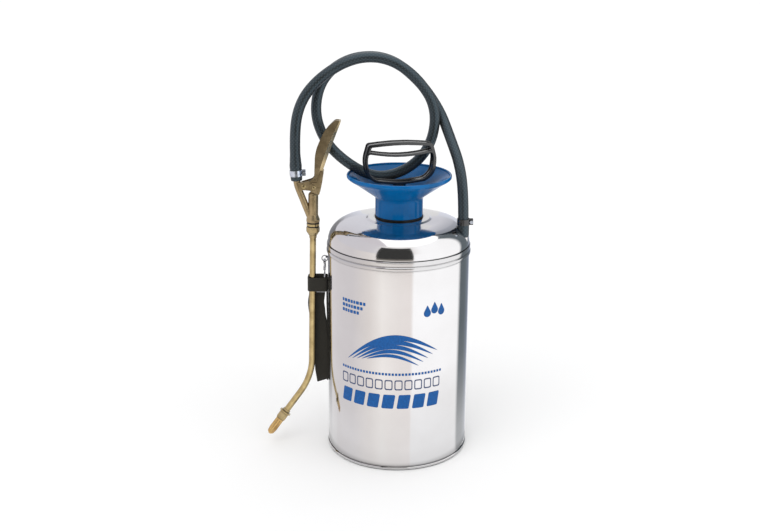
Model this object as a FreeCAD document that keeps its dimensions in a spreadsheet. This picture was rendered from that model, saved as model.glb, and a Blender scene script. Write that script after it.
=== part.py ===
"""Two-gallon stainless pump sprayer with a filling funnel, a pump, a hose, a brass valve and a wand.

Millimetres, +Z up. The origin is on the tank's axis, on the flat face that the tank stands on.
+X points to the side that the hose leaves from, and -Y to the side that the valve is seen from.
"""

import FreeCAD
import Part
import math
import os
import re
import Sketcher

Vector = FreeCAD.Vector
Rotation = FreeCAD.Rotation
Placement = FreeCAD.Placement
Z_AXIS = Vector(0, 0, 1)

doc = FreeCAD.newDocument("PumpSprayer")
sheet = doc.addObject("Spreadsheet::Sheet", "D")

# alias, value, what it is
DIMENSIONS = [
    ("tank_r", 100, "tank shell, outside radius"),
    ("skin", 0.9, "tank shell, sheet thickness"),
    ("foot_r", 100.6, "foot pan, outside radius"),
    ("foot_top", 4.4, "foot pan, height"),
    ("seam_z", 304.1, "seam between the dome and the band"),
    ("band_z", 297, "lower edge of the flat band"),
    ("bead_z", 291, "lower edge of the bead"),
    ("bead_r", 101.8, "bead, outside radius"),
    ("dome_z", 329.3, "where the side and the dome's slope would meet"),
    ("shoulder_r", 29.6, "dome, shoulder radius"),
    ("crown_r", 45, "raised crown round the mouth, radius"),
    ("crown_z", 340.2, "raised crown, height"),
    ("mouth_r", 30, "mouth, radius"),
    ("mouth_z", 341, "mouth, height"),
    ("neck_z", 343.1, "underside of the funnel's neck"),
    ("neck_r", 33.5, "funnel's neck, radius"),
    ("cone_z", 369.4, "where the funnel's cone starts"),
    ("rim_r", 73.5, "funnel's rim, radius"),
    ("rim_z", 401.6, "funnel's rim, height"),
    ("seat_z", 368, "pump's seat in the funnel"),
    ("seat_r", 31.8, "pump's seat, radius"),
    ("bore_r", 28.62, "funnel's bore, radius"),
    ("collar_r", 29.9, "threaded mouth collar, radius"),
    ("collar_z", 357, "threaded mouth collar, top"),
    ("cap_z", 373, "pump cap, top"),
    ("barrel_r", 19.9, "pump barrel, outside radius"),
    ("barrel_bore", 17.5, "pump barrel, bore radius"),
    ("barrel_z", 104, "pump barrel, lower end"),
    ("barrel_top", 365.85, "pump barrel, upper end"),
    ("rod_r", 4, "pump rod, radius"),
    ("rod_z", 111, "pump rod, lower end"),
    ("rod_top", 388, "pump rod, upper end"),
    ("piston_z", 121, "underside of the piston cup's web"),
    ("slip", 0.06, "radial clearance of a running fit"),
    ("grip_turn", 13, "handle, angle to the front in degrees"),
    ("grip_pin_z", 382.5, "handle's cross pin, height"),
    ("grip_pin_r", 1.5, "handle's cross pin, radius"),
    ("grip_deep", 18, "handle, depth from front to back"),
    ("outlet_x", 89.6, "outlet, place along X"),
    ("outlet_y", -23, "outlet, place along Y"),
    ("hose_r", 7.35, "hose, outside radius"),
    ("hose_bore", 4.75, "hose, bore radius over the barbs"),
    ("hose_foot", 318.5, "hose, end at the tank"),
    ("swell_r", 8.1, "hose where a barb spreads it, radius"),
    ("swell_run", 22, "hose, length that a barb spreads"),
    ("clamp_t", 0.8, "hose clamp, band thickness"),
    ("clamp_w", 8.4, "hose clamp, band width"),
    ("valve_x", -121.2, "valve, place of its axis along X"),
    ("valve_y", 5, "valve, place of its axis along Y"),
    ("valve_z", 330.4, "valve, height of its lower face"),
    ("lean", 0.95, "valve and wand, lean to the right"),
    ("barb_tilt", 4.6, "hose end on the valve, tilt to the left"),
    ("stem_r", 1.6, "valve stem, radius"),
    ("pin_r", 1.5, "valve pins, radius"),
    ("cheek", 5.4, "lever, half its inside width"),
    ("lever_half", 6.9, "lever, half its outside width"),
    ("pivot_x", -13.1, "lever's pivot from the valve's axis"),
    ("pivot_z", 51.2, "lever's pivot above the valve's face"),
    ("link_x", 1.2, "link pin from the valve's axis"),
    ("link_z", 50.3, "link pin above the valve's face"),
    ("tube_r", 4.5, "wand tube, radius"),
    ("tube_bore", 3.6, "wand tube, bore radius"),
    ("bend_z", -236, "wand tube, height of its bend's corner"),
    ("bend_a", 38, "wand tube, angle of its bend"),
    ("bend_r", 80, "wand tube, radius of its bend"),
    ("bend_run", 64, "wand tube, from the bend's corner to its end"),
    ("heading", 20, "wand tube, its bend turned to the front"),
    ("eye_y", 5, "strap eye, place along Y"),
    ("webbing_t", 1.6, "strap webbing, thickness"),
    ("wrap_low", 227.2, "strap wrap, lower edge"),
    ("wrap_high", 250.4, "strap wrap, upper edge"),
]

for row, (alias, value, note) in enumerate(DIMENSIONS, 1):
    sheet.set(f"A{row}", note)
    sheet.set(f"B{row}", str(value))
    sheet.setAlias(f"B{row}", alias)
doc.recompute()

ALIASES = {alias for alias, _, _ in DIMENSIONS}
WORD = re.compile(r"[a-z_][a-z0-9_]*")
subparts = []


def size(text):
    """The value of a plain number, or of an expression of the sheet's aliases."""
    if re.fullmatch(r"-?[0-9.]+", text):
        return float(text)
    return float(sheet.evalExpression(text))


def linked(text):
    """The same expression, as an object outside the sheet writes it."""
    return WORD.sub(lambda m: "D." + m.group() if m.group() in ALIASES else m.group(), text)


def bind(thing, prop, text):
    """Sets a property to an expression's value, and keeps it bound to the sheet."""
    if WORD.search(text):
        thing.setExpression(prop, linked(text))
    else:
        setattr(thing, prop, size(text))


def keep(thing, label):
    """Names a sub-part and adds it to those that are written out."""
    thing.Label = label
    subparts.append(thing)
    return thing


# ---------------------------------------------------------------- PartDesign helpers


def plane_of(body, role):
    return next(f for f in body.Origin.OriginFeatures if f.Role == role)


def new_body(name):
    return doc.addObject("PartDesign::Body", name)


def sketch_on(body, role, offset=None):
    sketch = body.newObject("Sketcher::SketchObject", body.Name + "_sketch")
    sketch.AttachmentSupport = [(plane_of(body, role), "")]
    sketch.MapMode = "FlatFace"
    if offset:
        sketch.setExpression(".AttachmentOffset.Base.z", linked(offset))
    return sketch


def fix_point(sketch, geometry, position, x, y):
    """Holds a sketch point at two expressions' values."""
    for kind, text in (("DistanceX", x), ("DistanceY", y)):
        index = sketch.addConstraint(Sketcher.Constraint(kind, geometry, position, size(text)))
        if WORD.search(text):
            sketch.setExpression(f"Constraints[{index}]", linked(text))


def polygon(sketch, outline):
    """A closed outline of straight edges through the points, each held by the sheet."""
    corners = [Vector(size(x), size(y), 0) for x, y in outline]
    count = len(corners)
    for i in range(count):
        sketch.addGeometry(Part.LineSegment(corners[i], corners[(i + 1) % count]))
    for i in range(count):
        sketch.addConstraint(Sketcher.Constraint("Coincident", i, 2, (i + 1) % count, 1))
    for i, (x, y) in enumerate(outline):
        fix_point(sketch, i, 1, x, y)


def circle(sketch, x, y, radius):
    index = sketch.addGeometry(Part.Circle(Vector(size(x), size(y), 0), Z_AXIS, size(radius)))
    fix_point(sketch, index, 3, x, y)
    limit = sketch.addConstraint(Sketcher.Constraint("Radius", index, size(radius)))
    if WORD.search(radius):
        sketch.setExpression(f"Constraints[{limit}]", linked(radius))


def revolve(name, outline):
    """A body turned about +Z from an outline of (radius, height) points."""
    body = new_body(name)
    sketch = sketch_on(body, "XZ_Plane")
    polygon(sketch, outline)
    turned = body.newObject("PartDesign::Revolution", name + "_turned")
    turned.Profile = sketch
    turned.ReferenceAxis = (sketch, ["V_Axis"])
    turned.Angle = 360
    return body


def extrude(body, role, draw, length, kind="Pad", offset=None, symmetric=False, reverse=False):
    """A pad or a pocket of what draw puts in a sketch on one of the body's planes."""
    sketch = sketch_on(body, role, offset)
    draw(sketch)
    feature = body.newObject("PartDesign::" + kind, body.Name + "_" + kind.lower())
    feature.Profile = sketch
    bind(feature, "Length", length)
    feature.Reversed = reverse
    if symmetric:
        feature.SideType = "Symmetric"
    return feature


def soften(body, radius, wanted):
    """Rounds the edges of the body that the test picks."""
    doc.recompute()
    tip = body.Tip
    names = [f"Edge{i}" for i, edge in enumerate(tip.Shape.Edges, 1) if wanted(edge)]
    fillet = body.newObject("PartDesign::Fillet", body.Name + "_fillet")
    fillet.Base = (tip, names)
    bind(fillet, "Radius", radius)
    return fillet


def ring_at(radius, height, slack=0.05):
    """A test for the circular edge of that radius at that height."""
    r, z = size(radius), size(height)

    def wanted(edge):
        curve = edge.Curve
        if not isinstance(curve, Part.Circle):
            return False
        return abs(curve.Radius - r) < slack and abs(curve.Center.z - z) < slack

    return wanted


# ---------------------------------------------------------------- Part helpers


def cylinder(name, radius, height, base, axis=Z_AXIS):
    """A cylinder from a base point, given as three expressions, along an axis."""
    solid = doc.addObject("Part::Cylinder", name)
    bind(solid, "Radius", radius)
    bind(solid, "Height", height)
    solid.Placement = Placement(Vector(*[size(v) for v in base]), Rotation(Z_AXIS, axis))
    for letter, text in zip("xyz", base):
        if WORD.search(text):
            solid.setExpression(f"Placement.Base.{letter}", linked(text))
    return solid


def block(name, low, sides):
    """A box from its lowest corner and its three sides, all expressions."""
    solid = doc.addObject("Part::Box", name)
    for prop, text in zip(("Length", "Width", "Height"), sides):
        bind(solid, prop, text)
    solid.Placement = Placement(Vector(*[size(v) for v in low]), Rotation())
    for letter, text in zip("xyz", low):
        if WORD.search(text):
            solid.setExpression(f"Placement.Base.{letter}", linked(text))
    return solid


def fuse(name, *solids):
    joined = doc.addObject("Part::MultiFuse", name)
    joined.Shapes = list(solids)
    joined.Refine = True
    return joined


def cut(name, base, tool):
    less = doc.addObject("Part::Cut", name)
    less.Base = base
    less.Tool = tool
    return less


def common(name, one, other):
    both = doc.addObject("Part::Common", name)
    both.Base = one
    both.Tool = other
    return both


def made(name, shape, place=Placement()):
    """A sub-part that Part's own functions shape."""
    thing = doc.addObject("Part::Feature", name)
    thing.Shape = shape
    thing.Placement = place
    return thing


def rounded(points):
    """A closed wire in the XZ plane through (x, z, radius) corners, with tangent arcs."""
    edges = []
    count = len(points)
    starts, ends, middles = [], [], []
    for i, (x, z, radius) in enumerate(points):
        here = Vector(x, 0, z)
        back = Vector(points[i - 1][0], 0, points[i - 1][1]) - here
        ahead = Vector(points[(i + 1) % count][0], 0, points[(i + 1) % count][1]) - here
        half = back.getAngle(ahead) / 2
        reach = radius / math.tan(half)
        back.normalize()
        ahead.normalize()
        middle = (back + ahead).normalize() * (radius / math.sin(half) - radius)
        starts.append(here + back * reach)
        ends.append(here + ahead * reach)
        middles.append(here + middle)
    for i in range(count):
        edges.append(Part.Arc(starts[i], middles[i], ends[i]).toShape())
        edges.append(Part.LineSegment(ends[i], starts[(i + 1) % count]).toShape())
    return Part.Wire(edges)


def plate(points, y_low, y_high):
    """A rounded outline in XZ, thick from y_low to y_high."""
    face = Part.Face(rounded(points))
    face.translate(Vector(0, y_low, 0))
    return face.extrude(Vector(0, y_high - y_low, 0))


def mirrored(points):
    """The outline's right half, with its left half added."""
    return points + [(-x, z, r) for x, z, r in reversed(points) if abs(x) > 1e-9]


# ---------------------------------------------------------------- places

VALVE = Placement(
    Vector(size("valve_x"), size("valve_y"), size("valve_z")),
    Rotation(Vector(0, 1, 0), size("lean")),
)
WAND = VALVE.multiply(Placement(Vector(), Rotation(Z_AXIS, size("heading"))))
bend = math.radians(size("bend_a"))
tube_end = Vector(
    -size("bend_run") * math.sin(bend), 0, size("bend_z") - size("bend_run") * math.cos(bend)
)
NOZZLE = WAND.multiply(
    Placement(tube_end, Rotation(Vector(0, 1, 0), 180 + size("bend_a")))
)
barb_lean = math.radians(size("barb_tilt"))
barb_up = Vector(-math.sin(barb_lean), 0, math.cos(barb_lean))
BARB_FOOT = Vector(-23.5, 0, 58.4)
BARB = VALVE.multiply(Placement(BARB_FOOT, Rotation(Vector(0, 1, 0), -size("barb_tilt"))))
GRIP = Placement(Vector(), Rotation(Z_AXIS, size("grip_turn")))
OUTLET = Placement(Vector(size("outlet_x"), size("outlet_y"), size("hose_foot")), Rotation())


def place(thing, where):
    thing.Placement = where
    return thing


# ---------------------------------------------------------------- tank


def make_tank():
    foot = revolve("tank_foot", [
        ("0", "0"), ("58", "0"), ("62", "2"), ("80", "2"), ("84", "0"), ("foot_r - 1.4", "0"),
        ("foot_r", "1.4"), ("foot_r", "foot_top - 0.6"), ("foot_r - 0.6", "foot_top"),
        ("tank_r - 0.8", "foot_top"), ("tank_r - 0.8", "1.2"), ("84.6", "1.2"),
        ("80.6", "3.2"), ("61.4", "3.2"), ("57.4", "1.2"), ("0", "1.2"),
    ])
    keep(foot, "tank_foot")
    end = revolve("tank_bottom", [
        ("tank_r - 1.75", "1.3"), ("tank_r - 1.75", "18"), ("tank_r - 2.6", "18"),
        ("tank_r - 2.6", "9"), ("70", "13.5"), ("0", "18"), ("0", "17"), ("70", "12.5"),
        ("tank_r - 2.6", "7.9"), ("tank_r - 2.6", "1.3"),
    ])
    keep(end, "tank_bottom")
    shell = revolve("tank_shell", [
        ("tank_r - 1.7", "1.25"), ("tank_r - 0.85", "1.25"), ("tank_r - 0.85", "foot_top + 0.9"),
        ("tank_r", "foot_top + 0.9"), ("tank_r", "seam_z - 0.55"),
        ("tank_r - skin", "seam_z - 0.55"), ("tank_r - skin", "foot_top + 1.8"),
        ("tank_r - 1.7", "foot_top + 1.8"),
    ])
    keep(shell, "tank_shell")
    band = revolve("seam_band", [
        ("tank_r", "bead_z"), ("bead_r - 0.6", "bead_z"), ("bead_r", "bead_z + 1.4"),
        ("bead_r", "band_z - 1.8"), ("bead_r - 1", "band_z - 0.5"), ("bead_r - 1", "band_z"),
        ("bead_r - 0.6", "band_z + 0.5"), ("bead_r - 0.6", "seam_z - 1.1"),
        ("bead_r - 1.1", "seam_z - 0.5"), ("tank_r", "seam_z - 0.5"),
    ])
    keep(band, "seam_band")


def dome_outer():
    """The dome's outside, from the mouth down to the seam."""
    return [
        ("mouth_r", "mouth_z"), ("crown_r - 1.4", "crown_z"), ("crown_r + 1", "crown_z - 1.9"),
        ("tank_r", "dome_z"),
    ]


def make_dome():
    inner = "tank_r - 1.8"
    dome = revolve("tank_dome", dome_outer() + [
        ("tank_r", "seam_z"), ("tank_r - 0.95", "seam_z"), ("tank_r - 0.95", "bead_z"),
        (inner, "bead_z"), (inner, "dome_z - 0.8"), ("crown_r + 1", "crown_z - 3"),
        ("crown_r - 1.4", "crown_z - 1.1"), ("mouth_r", "mouth_z - 1.1"),
    ])
    soften(dome, "shoulder_r", ring_at("tank_r", "dome_z"))
    soften(dome, "shoulder_r - 1.8", ring_at(inner, "dome_z - 0.8"))
    extrude(
        dome, "XY_Plane", lambda s: circle(s, "outlet_x", "outlet_y", "5"),
        "60", kind="Pocket", offset="bead_z", reverse=True,
    )
    keep(dome, "tank_dome")
    filled = revolve("dome_volume", [("0", "mouth_z")] + dome_outer() + [
        ("tank_r", "bead_z"), ("0", "bead_z"),
    ])
    soften(filled, "shoulder_r", ring_at("tank_r", "dome_z"))
    return filled


def make_neck():
    collar = revolve("mouth_collar", [
        ("26.2", "mouth_z - 7"), ("collar_r", "mouth_z - 7"), ("collar_r", "mouth_z - 3.4"),
        ("36", "mouth_z - 3.4"), ("36", "mouth_z - 1.6"), ("collar_r", "mouth_z - 1.2"),
        ("collar_r", "collar_z"), ("26.2", "collar_z"),
    ])
    keep(collar, "mouth_collar")
    gasket = revolve("neck_gasket", [
        ("collar_r + 0.05", "mouth_z + 0.02"), ("neck_r + 0.4", "mouth_z + 0.02"),
        ("neck_r + 0.4", "neck_z"), ("collar_r + 0.05", "neck_z"),
    ])
    keep(gasket, "neck_gasket")
    funnel = revolve("funnel", [
        ("collar_r + 0.05", "neck_z + 0.02"), ("neck_r", "neck_z + 0.02"), ("neck_r", "cone_z"),
        ("64", "391"), ("70", "394.6"), ("rim_r", "rim_z - 4.1"), ("rim_r", "rim_z - 1.2"),
        ("rim_r - 0.8", "rim_z"), ("rim_r - 2.6", "rim_z"), ("rim_r - 3.2", "rim_z - 0.8"),
        ("rim_r - 3.2", "rim_z - 2.8"), ("62.2", "393.8"), ("32.4", "373.2"),
        ("seat_r", "372.6"), ("seat_r", "seat_z"), ("bore_r", "seat_z"),
        ("bore_r", "collar_z + 0.4"), ("collar_r + 0.05", "collar_z + 0.4"),
    ])
    keep(funnel, "funnel")
    seal = revolve("pump_gasket", [
        ("bore_r + 0.1", "seat_z + 0.02"), ("seat_r - 0.3", "seat_z + 0.02"),
        ("seat_r - 0.3", "seat_z + 1.2"), ("bore_r + 0.1", "seat_z + 1.2"),
    ])
    keep(seal, "pump_gasket")


# ---------------------------------------------------------------- pump


def make_pump():
    hole = "rod_r + slip"
    cap = revolve("pump_cap", [
        ("barrel_r + 0.05", "350"), ("25.9", "350"), ("25.9", "collar_z + 0.5"),
        ("bore_r - 0.05", "collar_z + 0.5"), ("bore_r - 0.05", "seat_z + 1.25"),
        ("seat_r - 0.3", "seat_z + 1.25"), ("seat_r - 0.3", "cap_z - 0.6"),
        ("seat_r - 0.9", "cap_z"), ("14", "cap_z"), ("13", "cap_z + 4"), (hole, "cap_z + 4"),
        (hole, "barrel_top + 0.05"), ("barrel_r + 0.05", "barrel_top + 0.05"),
    ])
    keep(cap, "pump_cap")
    barrel = revolve("pump_barrel", [
        ("barrel_bore", "barrel_z"), ("barrel_r", "barrel_z"), ("barrel_r", "barrel_top"),
        ("barrel_bore", "barrel_top"),
    ])
    keep(barrel, "pump_barrel")
    guide = revolve("rod_guide", [
        (hole, "barrel_top - 8"), ("barrel_bore - 0.05", "barrel_top - 8"),
        ("barrel_bore - 0.05", "barrel_top"), (hole, "barrel_top"),
    ])
    keep(guide, "rod_guide")
    seat = revolve("foot_valve_seat", [
        ("slip + 1.55", "barrel_z - 6"), ("barrel_r", "barrel_z - 6"), ("barrel_r", "barrel_z"),
        ("slip + 1.55", "barrel_z"),
    ])
    ports = extrude(
        seat, "XY_Plane", lambda s: circle(s, "7", "0", "2.2"),
        "8", kind="Pocket", offset="barrel_z - 7", reverse=True,
    )
    doc.recompute()
    pattern = seat.newObject("PartDesign::PolarPattern", "foot_valve_ports")
    pattern.Originals = [ports]
    pattern.Axis = (plane_of(seat, "Z_Axis"), [""])
    pattern.Angle = 360
    pattern.Occurrences = 4
    seat.Tip = pattern
    keep(seat, "foot_valve_seat")
    cage = revolve("foot_valve_cage", [
        ("6", "barrel_z - 18"), ("barrel_r + 1.7", "barrel_z - 18"),
        ("barrel_r + 1.7", "barrel_z + 8"), ("barrel_r + 0.05", "barrel_z + 8"),
        ("barrel_r + 0.05", "barrel_z - 6.1"), ("barrel_r - 1", "barrel_z - 6.1"),
        ("barrel_r - 1", "barrel_z - 16"), ("6", "barrel_z - 16"),
    ])
    keep(cage, "foot_valve_cage")
    flap = revolve("check_valve", [
        ("0", "barrel_z - 7.6"), ("10.5", "barrel_z - 7.6"), ("10.5", "barrel_z - 6.05"),
        ("1.55", "barrel_z - 6.05"), ("1.55", "barrel_z + 2"), ("2.3", "barrel_z + 2"),
        ("1.2", "barrel_z + 4.2"), ("0", "barrel_z + 4.2"),
    ])
    keep(flap, "check_valve")


def make_plunger():
    rod = cylinder("rod_blank", "rod_r", "rod_top - rod_z", ("0", "0", "rod_z"))
    turn = math.radians(size("grip_turn"))
    across = Vector(-math.sin(turn), math.cos(turn), 0)
    start = ("10 * sin(grip_turn)", "-10 * cos(grip_turn)", "grip_pin_z")
    hole = cylinder("rod_hole", "grip_pin_r + 0.02", "20", start, across)
    keep(cut("pump_rod", rod, hole), "pump_rod")
    inner = "rod_r + 0.02"
    wiper = "barrel_bore - slip"
    keep(revolve("piston_cup", [
        (inner, "piston_z"), ("15.2", "piston_z"), ("16.3", "piston_z - 7"),
        (wiper, "piston_z - 7"), (wiper, "piston_z + 3"),
        (inner, "piston_z + 3"),
    ]), "piston_cup")
    keep(revolve("piston_top_disc", [
        (inner, "piston_z + 3.02"), ("16.8", "piston_z + 3.02"), ("16.8", "piston_z + 6"),
        (inner, "piston_z + 6"),
    ]), "piston_top_disc")
    keep(revolve("piston_bottom_disc", [
        (inner, "piston_z - 2.6"), ("14.4", "piston_z - 2.6"), ("14.4", "piston_z - 0.02"),
        (inner, "piston_z - 0.02"),
    ]), "piston_bottom_disc")
    prism = doc.addObject("Part::Prism", "nut_prism")
    prism.Polygon = 6
    prism.Circumradius = 7.5
    prism.Height = 5.8
    prism.Placement = Placement(Vector(0, 0, size("piston_z - 8.5")), Rotation())
    prism.setExpression("Placement.Base.z", linked("piston_z - 8.5"))
    bore = cylinder("nut_bore", inner, "8", ("0", "0", "piston_z - 9.5"))
    keep(cut("piston_nut", prism, bore), "piston_nut")


def grip_outline(inset, opening):
    """One closed line of the handle: its outside, or one of its two openings, moved by inset."""
    if opening == "outside":
        right = [(0, 449.7 - inset, 300), (45.6 - inset, 445.2 - inset, 5), (51.5 - inset, 424, 40),
                 (49 - inset, 403.5, 20), (37.2 - inset * 0.6, 391.6 + inset * 0.8, 22),
                 (0, 387.6 + inset, 120)]
    elif opening == "upper":
        right = [(0, 444.8 + inset, 300), (42 + inset, 441.4 + inset, 2.4),
                 (44 + inset, 435.3 - inset, 1.2), (0, 426.8 - inset, 190)]
    else:
        right = [(0, 424.8 + inset, 190), (46 + inset, 432.3 + inset, 2.5),
                 (48 + inset, 424, 30), (45.7 + inset, 405.2, 18),
                 (35.6 + inset * 0.6, 395.2 - inset * 0.8, 19), (0, 391.2 - inset, 120)]
    return mirrored(right)


def make_handle():
    half = size("grip_deep") / 2
    rim_deep = 2.6
    web_in = 0.9

    def frame(inset, low, high):
        solid = plate(grip_outline(inset, "outside"), low, high)
        for opening in ("upper", "lower"):
            solid = solid.cut(plate(grip_outline(inset, opening), low - 1, high + 1))
        return solid

    grip = frame(web_in, -half, half)
    grip = grip.fuse([frame(0, -half, -half + rim_deep), frame(0, half - rim_deep, half)])
    boss = Part.makeCylinder(9, 10.5, Vector(0, 0, size("cap_z + 5.5")))
    socket = Part.makeCylinder(size("rod_r") + 0.02, 12, Vector(0, 0, size("rod_top") - 11.95))
    pin_z, pin_r = size("grip_pin_z"), size("grip_pin_r")
    across = Part.makeCylinder(pin_r + 0.02, 24, Vector(0, -12, pin_z), Vector(0, 1, 0))
    grip = grip.fuse(boss).cut(socket).cut(across).removeSplitter()
    keep(made("pump_handle", grip, GRIP), "pump_handle")
    pin = Part.makeCylinder(pin_r, 17.4, Vector(0, -8.7, pin_z), Vector(0, 1, 0))
    keep(made("handle_pin", pin, GRIP), "handle_pin")


# ---------------------------------------------------------------- outlet and hose

# Points of the hose's route, from the tank's outlet to the valve.
HOSE_ROUTE = [
    (89.6, -23, 318.5), (89.6, -23, 366), (85, -4, 413), (70, 30, 450), (56, 55, 483),
    (27, 54, 524), (-16, 53, 558), (-68, 47, 559), (-109, 38, 532), (-121, 28, 484),
    (-105, 23.5, 439.5), (-70, 12.5, 410), (-30, 21, 389), (16, 31, 402), (46, 37, 437.5),
    (51, 38, 489), (25, 36, 530), (-16, 34, 559), (-64, 29, 560), (-111, 17, 534),
    (-141, 9, 496), (-147, 5, 441), (-143.7, 5, 389.2),
]


def route_wire(points):
    """Straight runs joined by the largest tangent arcs that their lengths allow."""
    corners = [Vector(*p) for p in points]
    edges, radii, here = [], [], corners[0]
    for before, corner, after in zip(corners, corners[1:], corners[2:]):
        back, ahead = before - corner, after - corner
        reach = 0.45 * min(back.Length, ahead.Length)
        half_turn = (math.pi - back.getAngle(ahead)) / 2
        radius = reach / math.tan(half_turn)
        radii.append(radius)
        back.normalize()
        ahead.normalize()
        start, end = corner + back * reach, corner + ahead * reach
        inward = (back + ahead).normalize() * (radius / math.cos(half_turn) - radius)
        edges.append(Part.LineSegment(here, start).toShape())
        edges.append(Part.Arc(start, corner + inward, end).toShape())
        here = end
    edges.append(Part.LineSegment(here, corners[-1]).toShape())
    return Part.Wire(edges), radii


def tube_along(wire, radius):
    """A round bar along a wire."""
    first = wire.Edges[0]
    start = first.valueAt(first.FirstParameter)
    ring = Part.Wire(Part.makeCircle(radius, start, first.tangentAt(first.FirstParameter)))
    return wire.makePipeShell([ring], True, False)


def make_outlet(dome_volume):
    stem = revolve("outlet_stem", [
        ("4.05", "-18.5"), ("4.95", "-18.5"), ("4.95", "0"), ("hose_bore - 0.02", "0.2"),
        ("hose_bore - 0.02", "24"), ("4.1", "27"), ("3", "27"), ("3", "-10"), ("4.05", "-10"),
    ])
    place(stem, OUTLET)
    boss = cylinder("outlet_boss", "7.3", "14", ("outlet_x", "outlet_y", "hose_foot - 14"))
    saddle = cut("outlet_saddle", boss, dome_volume)
    core = cylinder("outlet_core", "4.5", "16", ("outlet_x", "outlet_y", "hose_foot - 15"))
    keep(fuse("outlet_fitting", stem, cut("outlet_ring", saddle, core)), "outlet_fitting")
    dip = revolve("dip_tube", [("3.1", "24"), ("4", "24"), ("4", "308"), ("3.1", "308")])
    dip.Placement = Placement(Vector(size("outlet_x"), size("outlet_y"), 0), Rotation())
    keep(dip, "dip_tube")
    strainer = revolve("dip_strainer", [
        ("0", "20"), ("5.4", "20"), ("5.4", "38"), ("4.05", "38"), ("4.05", "21.2"),
        ("0", "21.2"),
    ])
    strainer.Placement = Placement(Vector(size("outlet_x"), size("outlet_y"), 0), Rotation())
    keep(strainer, "dip_strainer")


def make_hose(dome_volume):
    wire, radii = route_wire(HOSE_ROUTE)
    radius = size("hose_r")
    tube = tube_along(wire, radius)
    print("hose radii", [round(r) for r in radii])
    print("hose length", round(wire.Length, 1), "tube volume over section times length",
          round(tube.Volume / (math.pi * radius * radius * wire.Length), 4))
    for end in (OUTLET, BARB):
        swell = Part.makeCylinder(size("swell_r"), size("swell_run"))
        swell.Placement = end
        bore = Part.makeCylinder(size("hose_bore"), 27.2)
        bore.Placement = end
        tube = tube.fuse(swell).cut(bore)
    tube = tube.cut(dome_volume.Shape)
    keep(made("hose", max(tube.Solids, key=lambda s: s.Volume)), "hose")


def make_clamp(name, where, screw_name):
    """A band with two ears, and the screw that draws them together."""
    band = revolve(name + "_band", [
        ("swell_r", "0"), ("swell_r + clamp_t", "0"), ("swell_r + clamp_t", "clamp_w"),
        ("swell_r", "clamp_w"),
    ])
    ears = block(name + "_ears", ("swell_r + 0.1", "-2.4", "0"), ("5.2", "4.8", "clamp_w"))
    gap = block(name + "_gap", ("swell_r - 1", "-1.2", "-1"), ("8", "2.4", "clamp_w + 2"))
    hole = cylinder(name + "_hole", "1.5", "8", ("swell_r + 3", "-4", "clamp_w / 2"),
                    Vector(0, 1, 0))
    body = cut(name + "_slit", fuse(name + "_blank", band, ears), fuse(name + "_tools", gap, hole))
    keep(place(body, where), name)
    shank = cylinder(screw_name + "_shank", "1.45", "7.2", ("swell_r + 3", "-3.6", "clamp_w / 2"),
                     Vector(0, 1, 0))
    head = cylinder(screw_name + "_head", "2.5", "2", ("swell_r + 3", "-4.45", "clamp_w / 2"),
                    Vector(0, 1, 0))
    nut = cylinder(screw_name + "_nut", "2.3", "1.8", ("swell_r + 3", "2.45", "clamp_w / 2"),
                   Vector(0, 1, 0))
    keep(place(fuse(screw_name, shank, head, nut), where), screw_name)


# ---------------------------------------------------------------- valve


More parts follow.
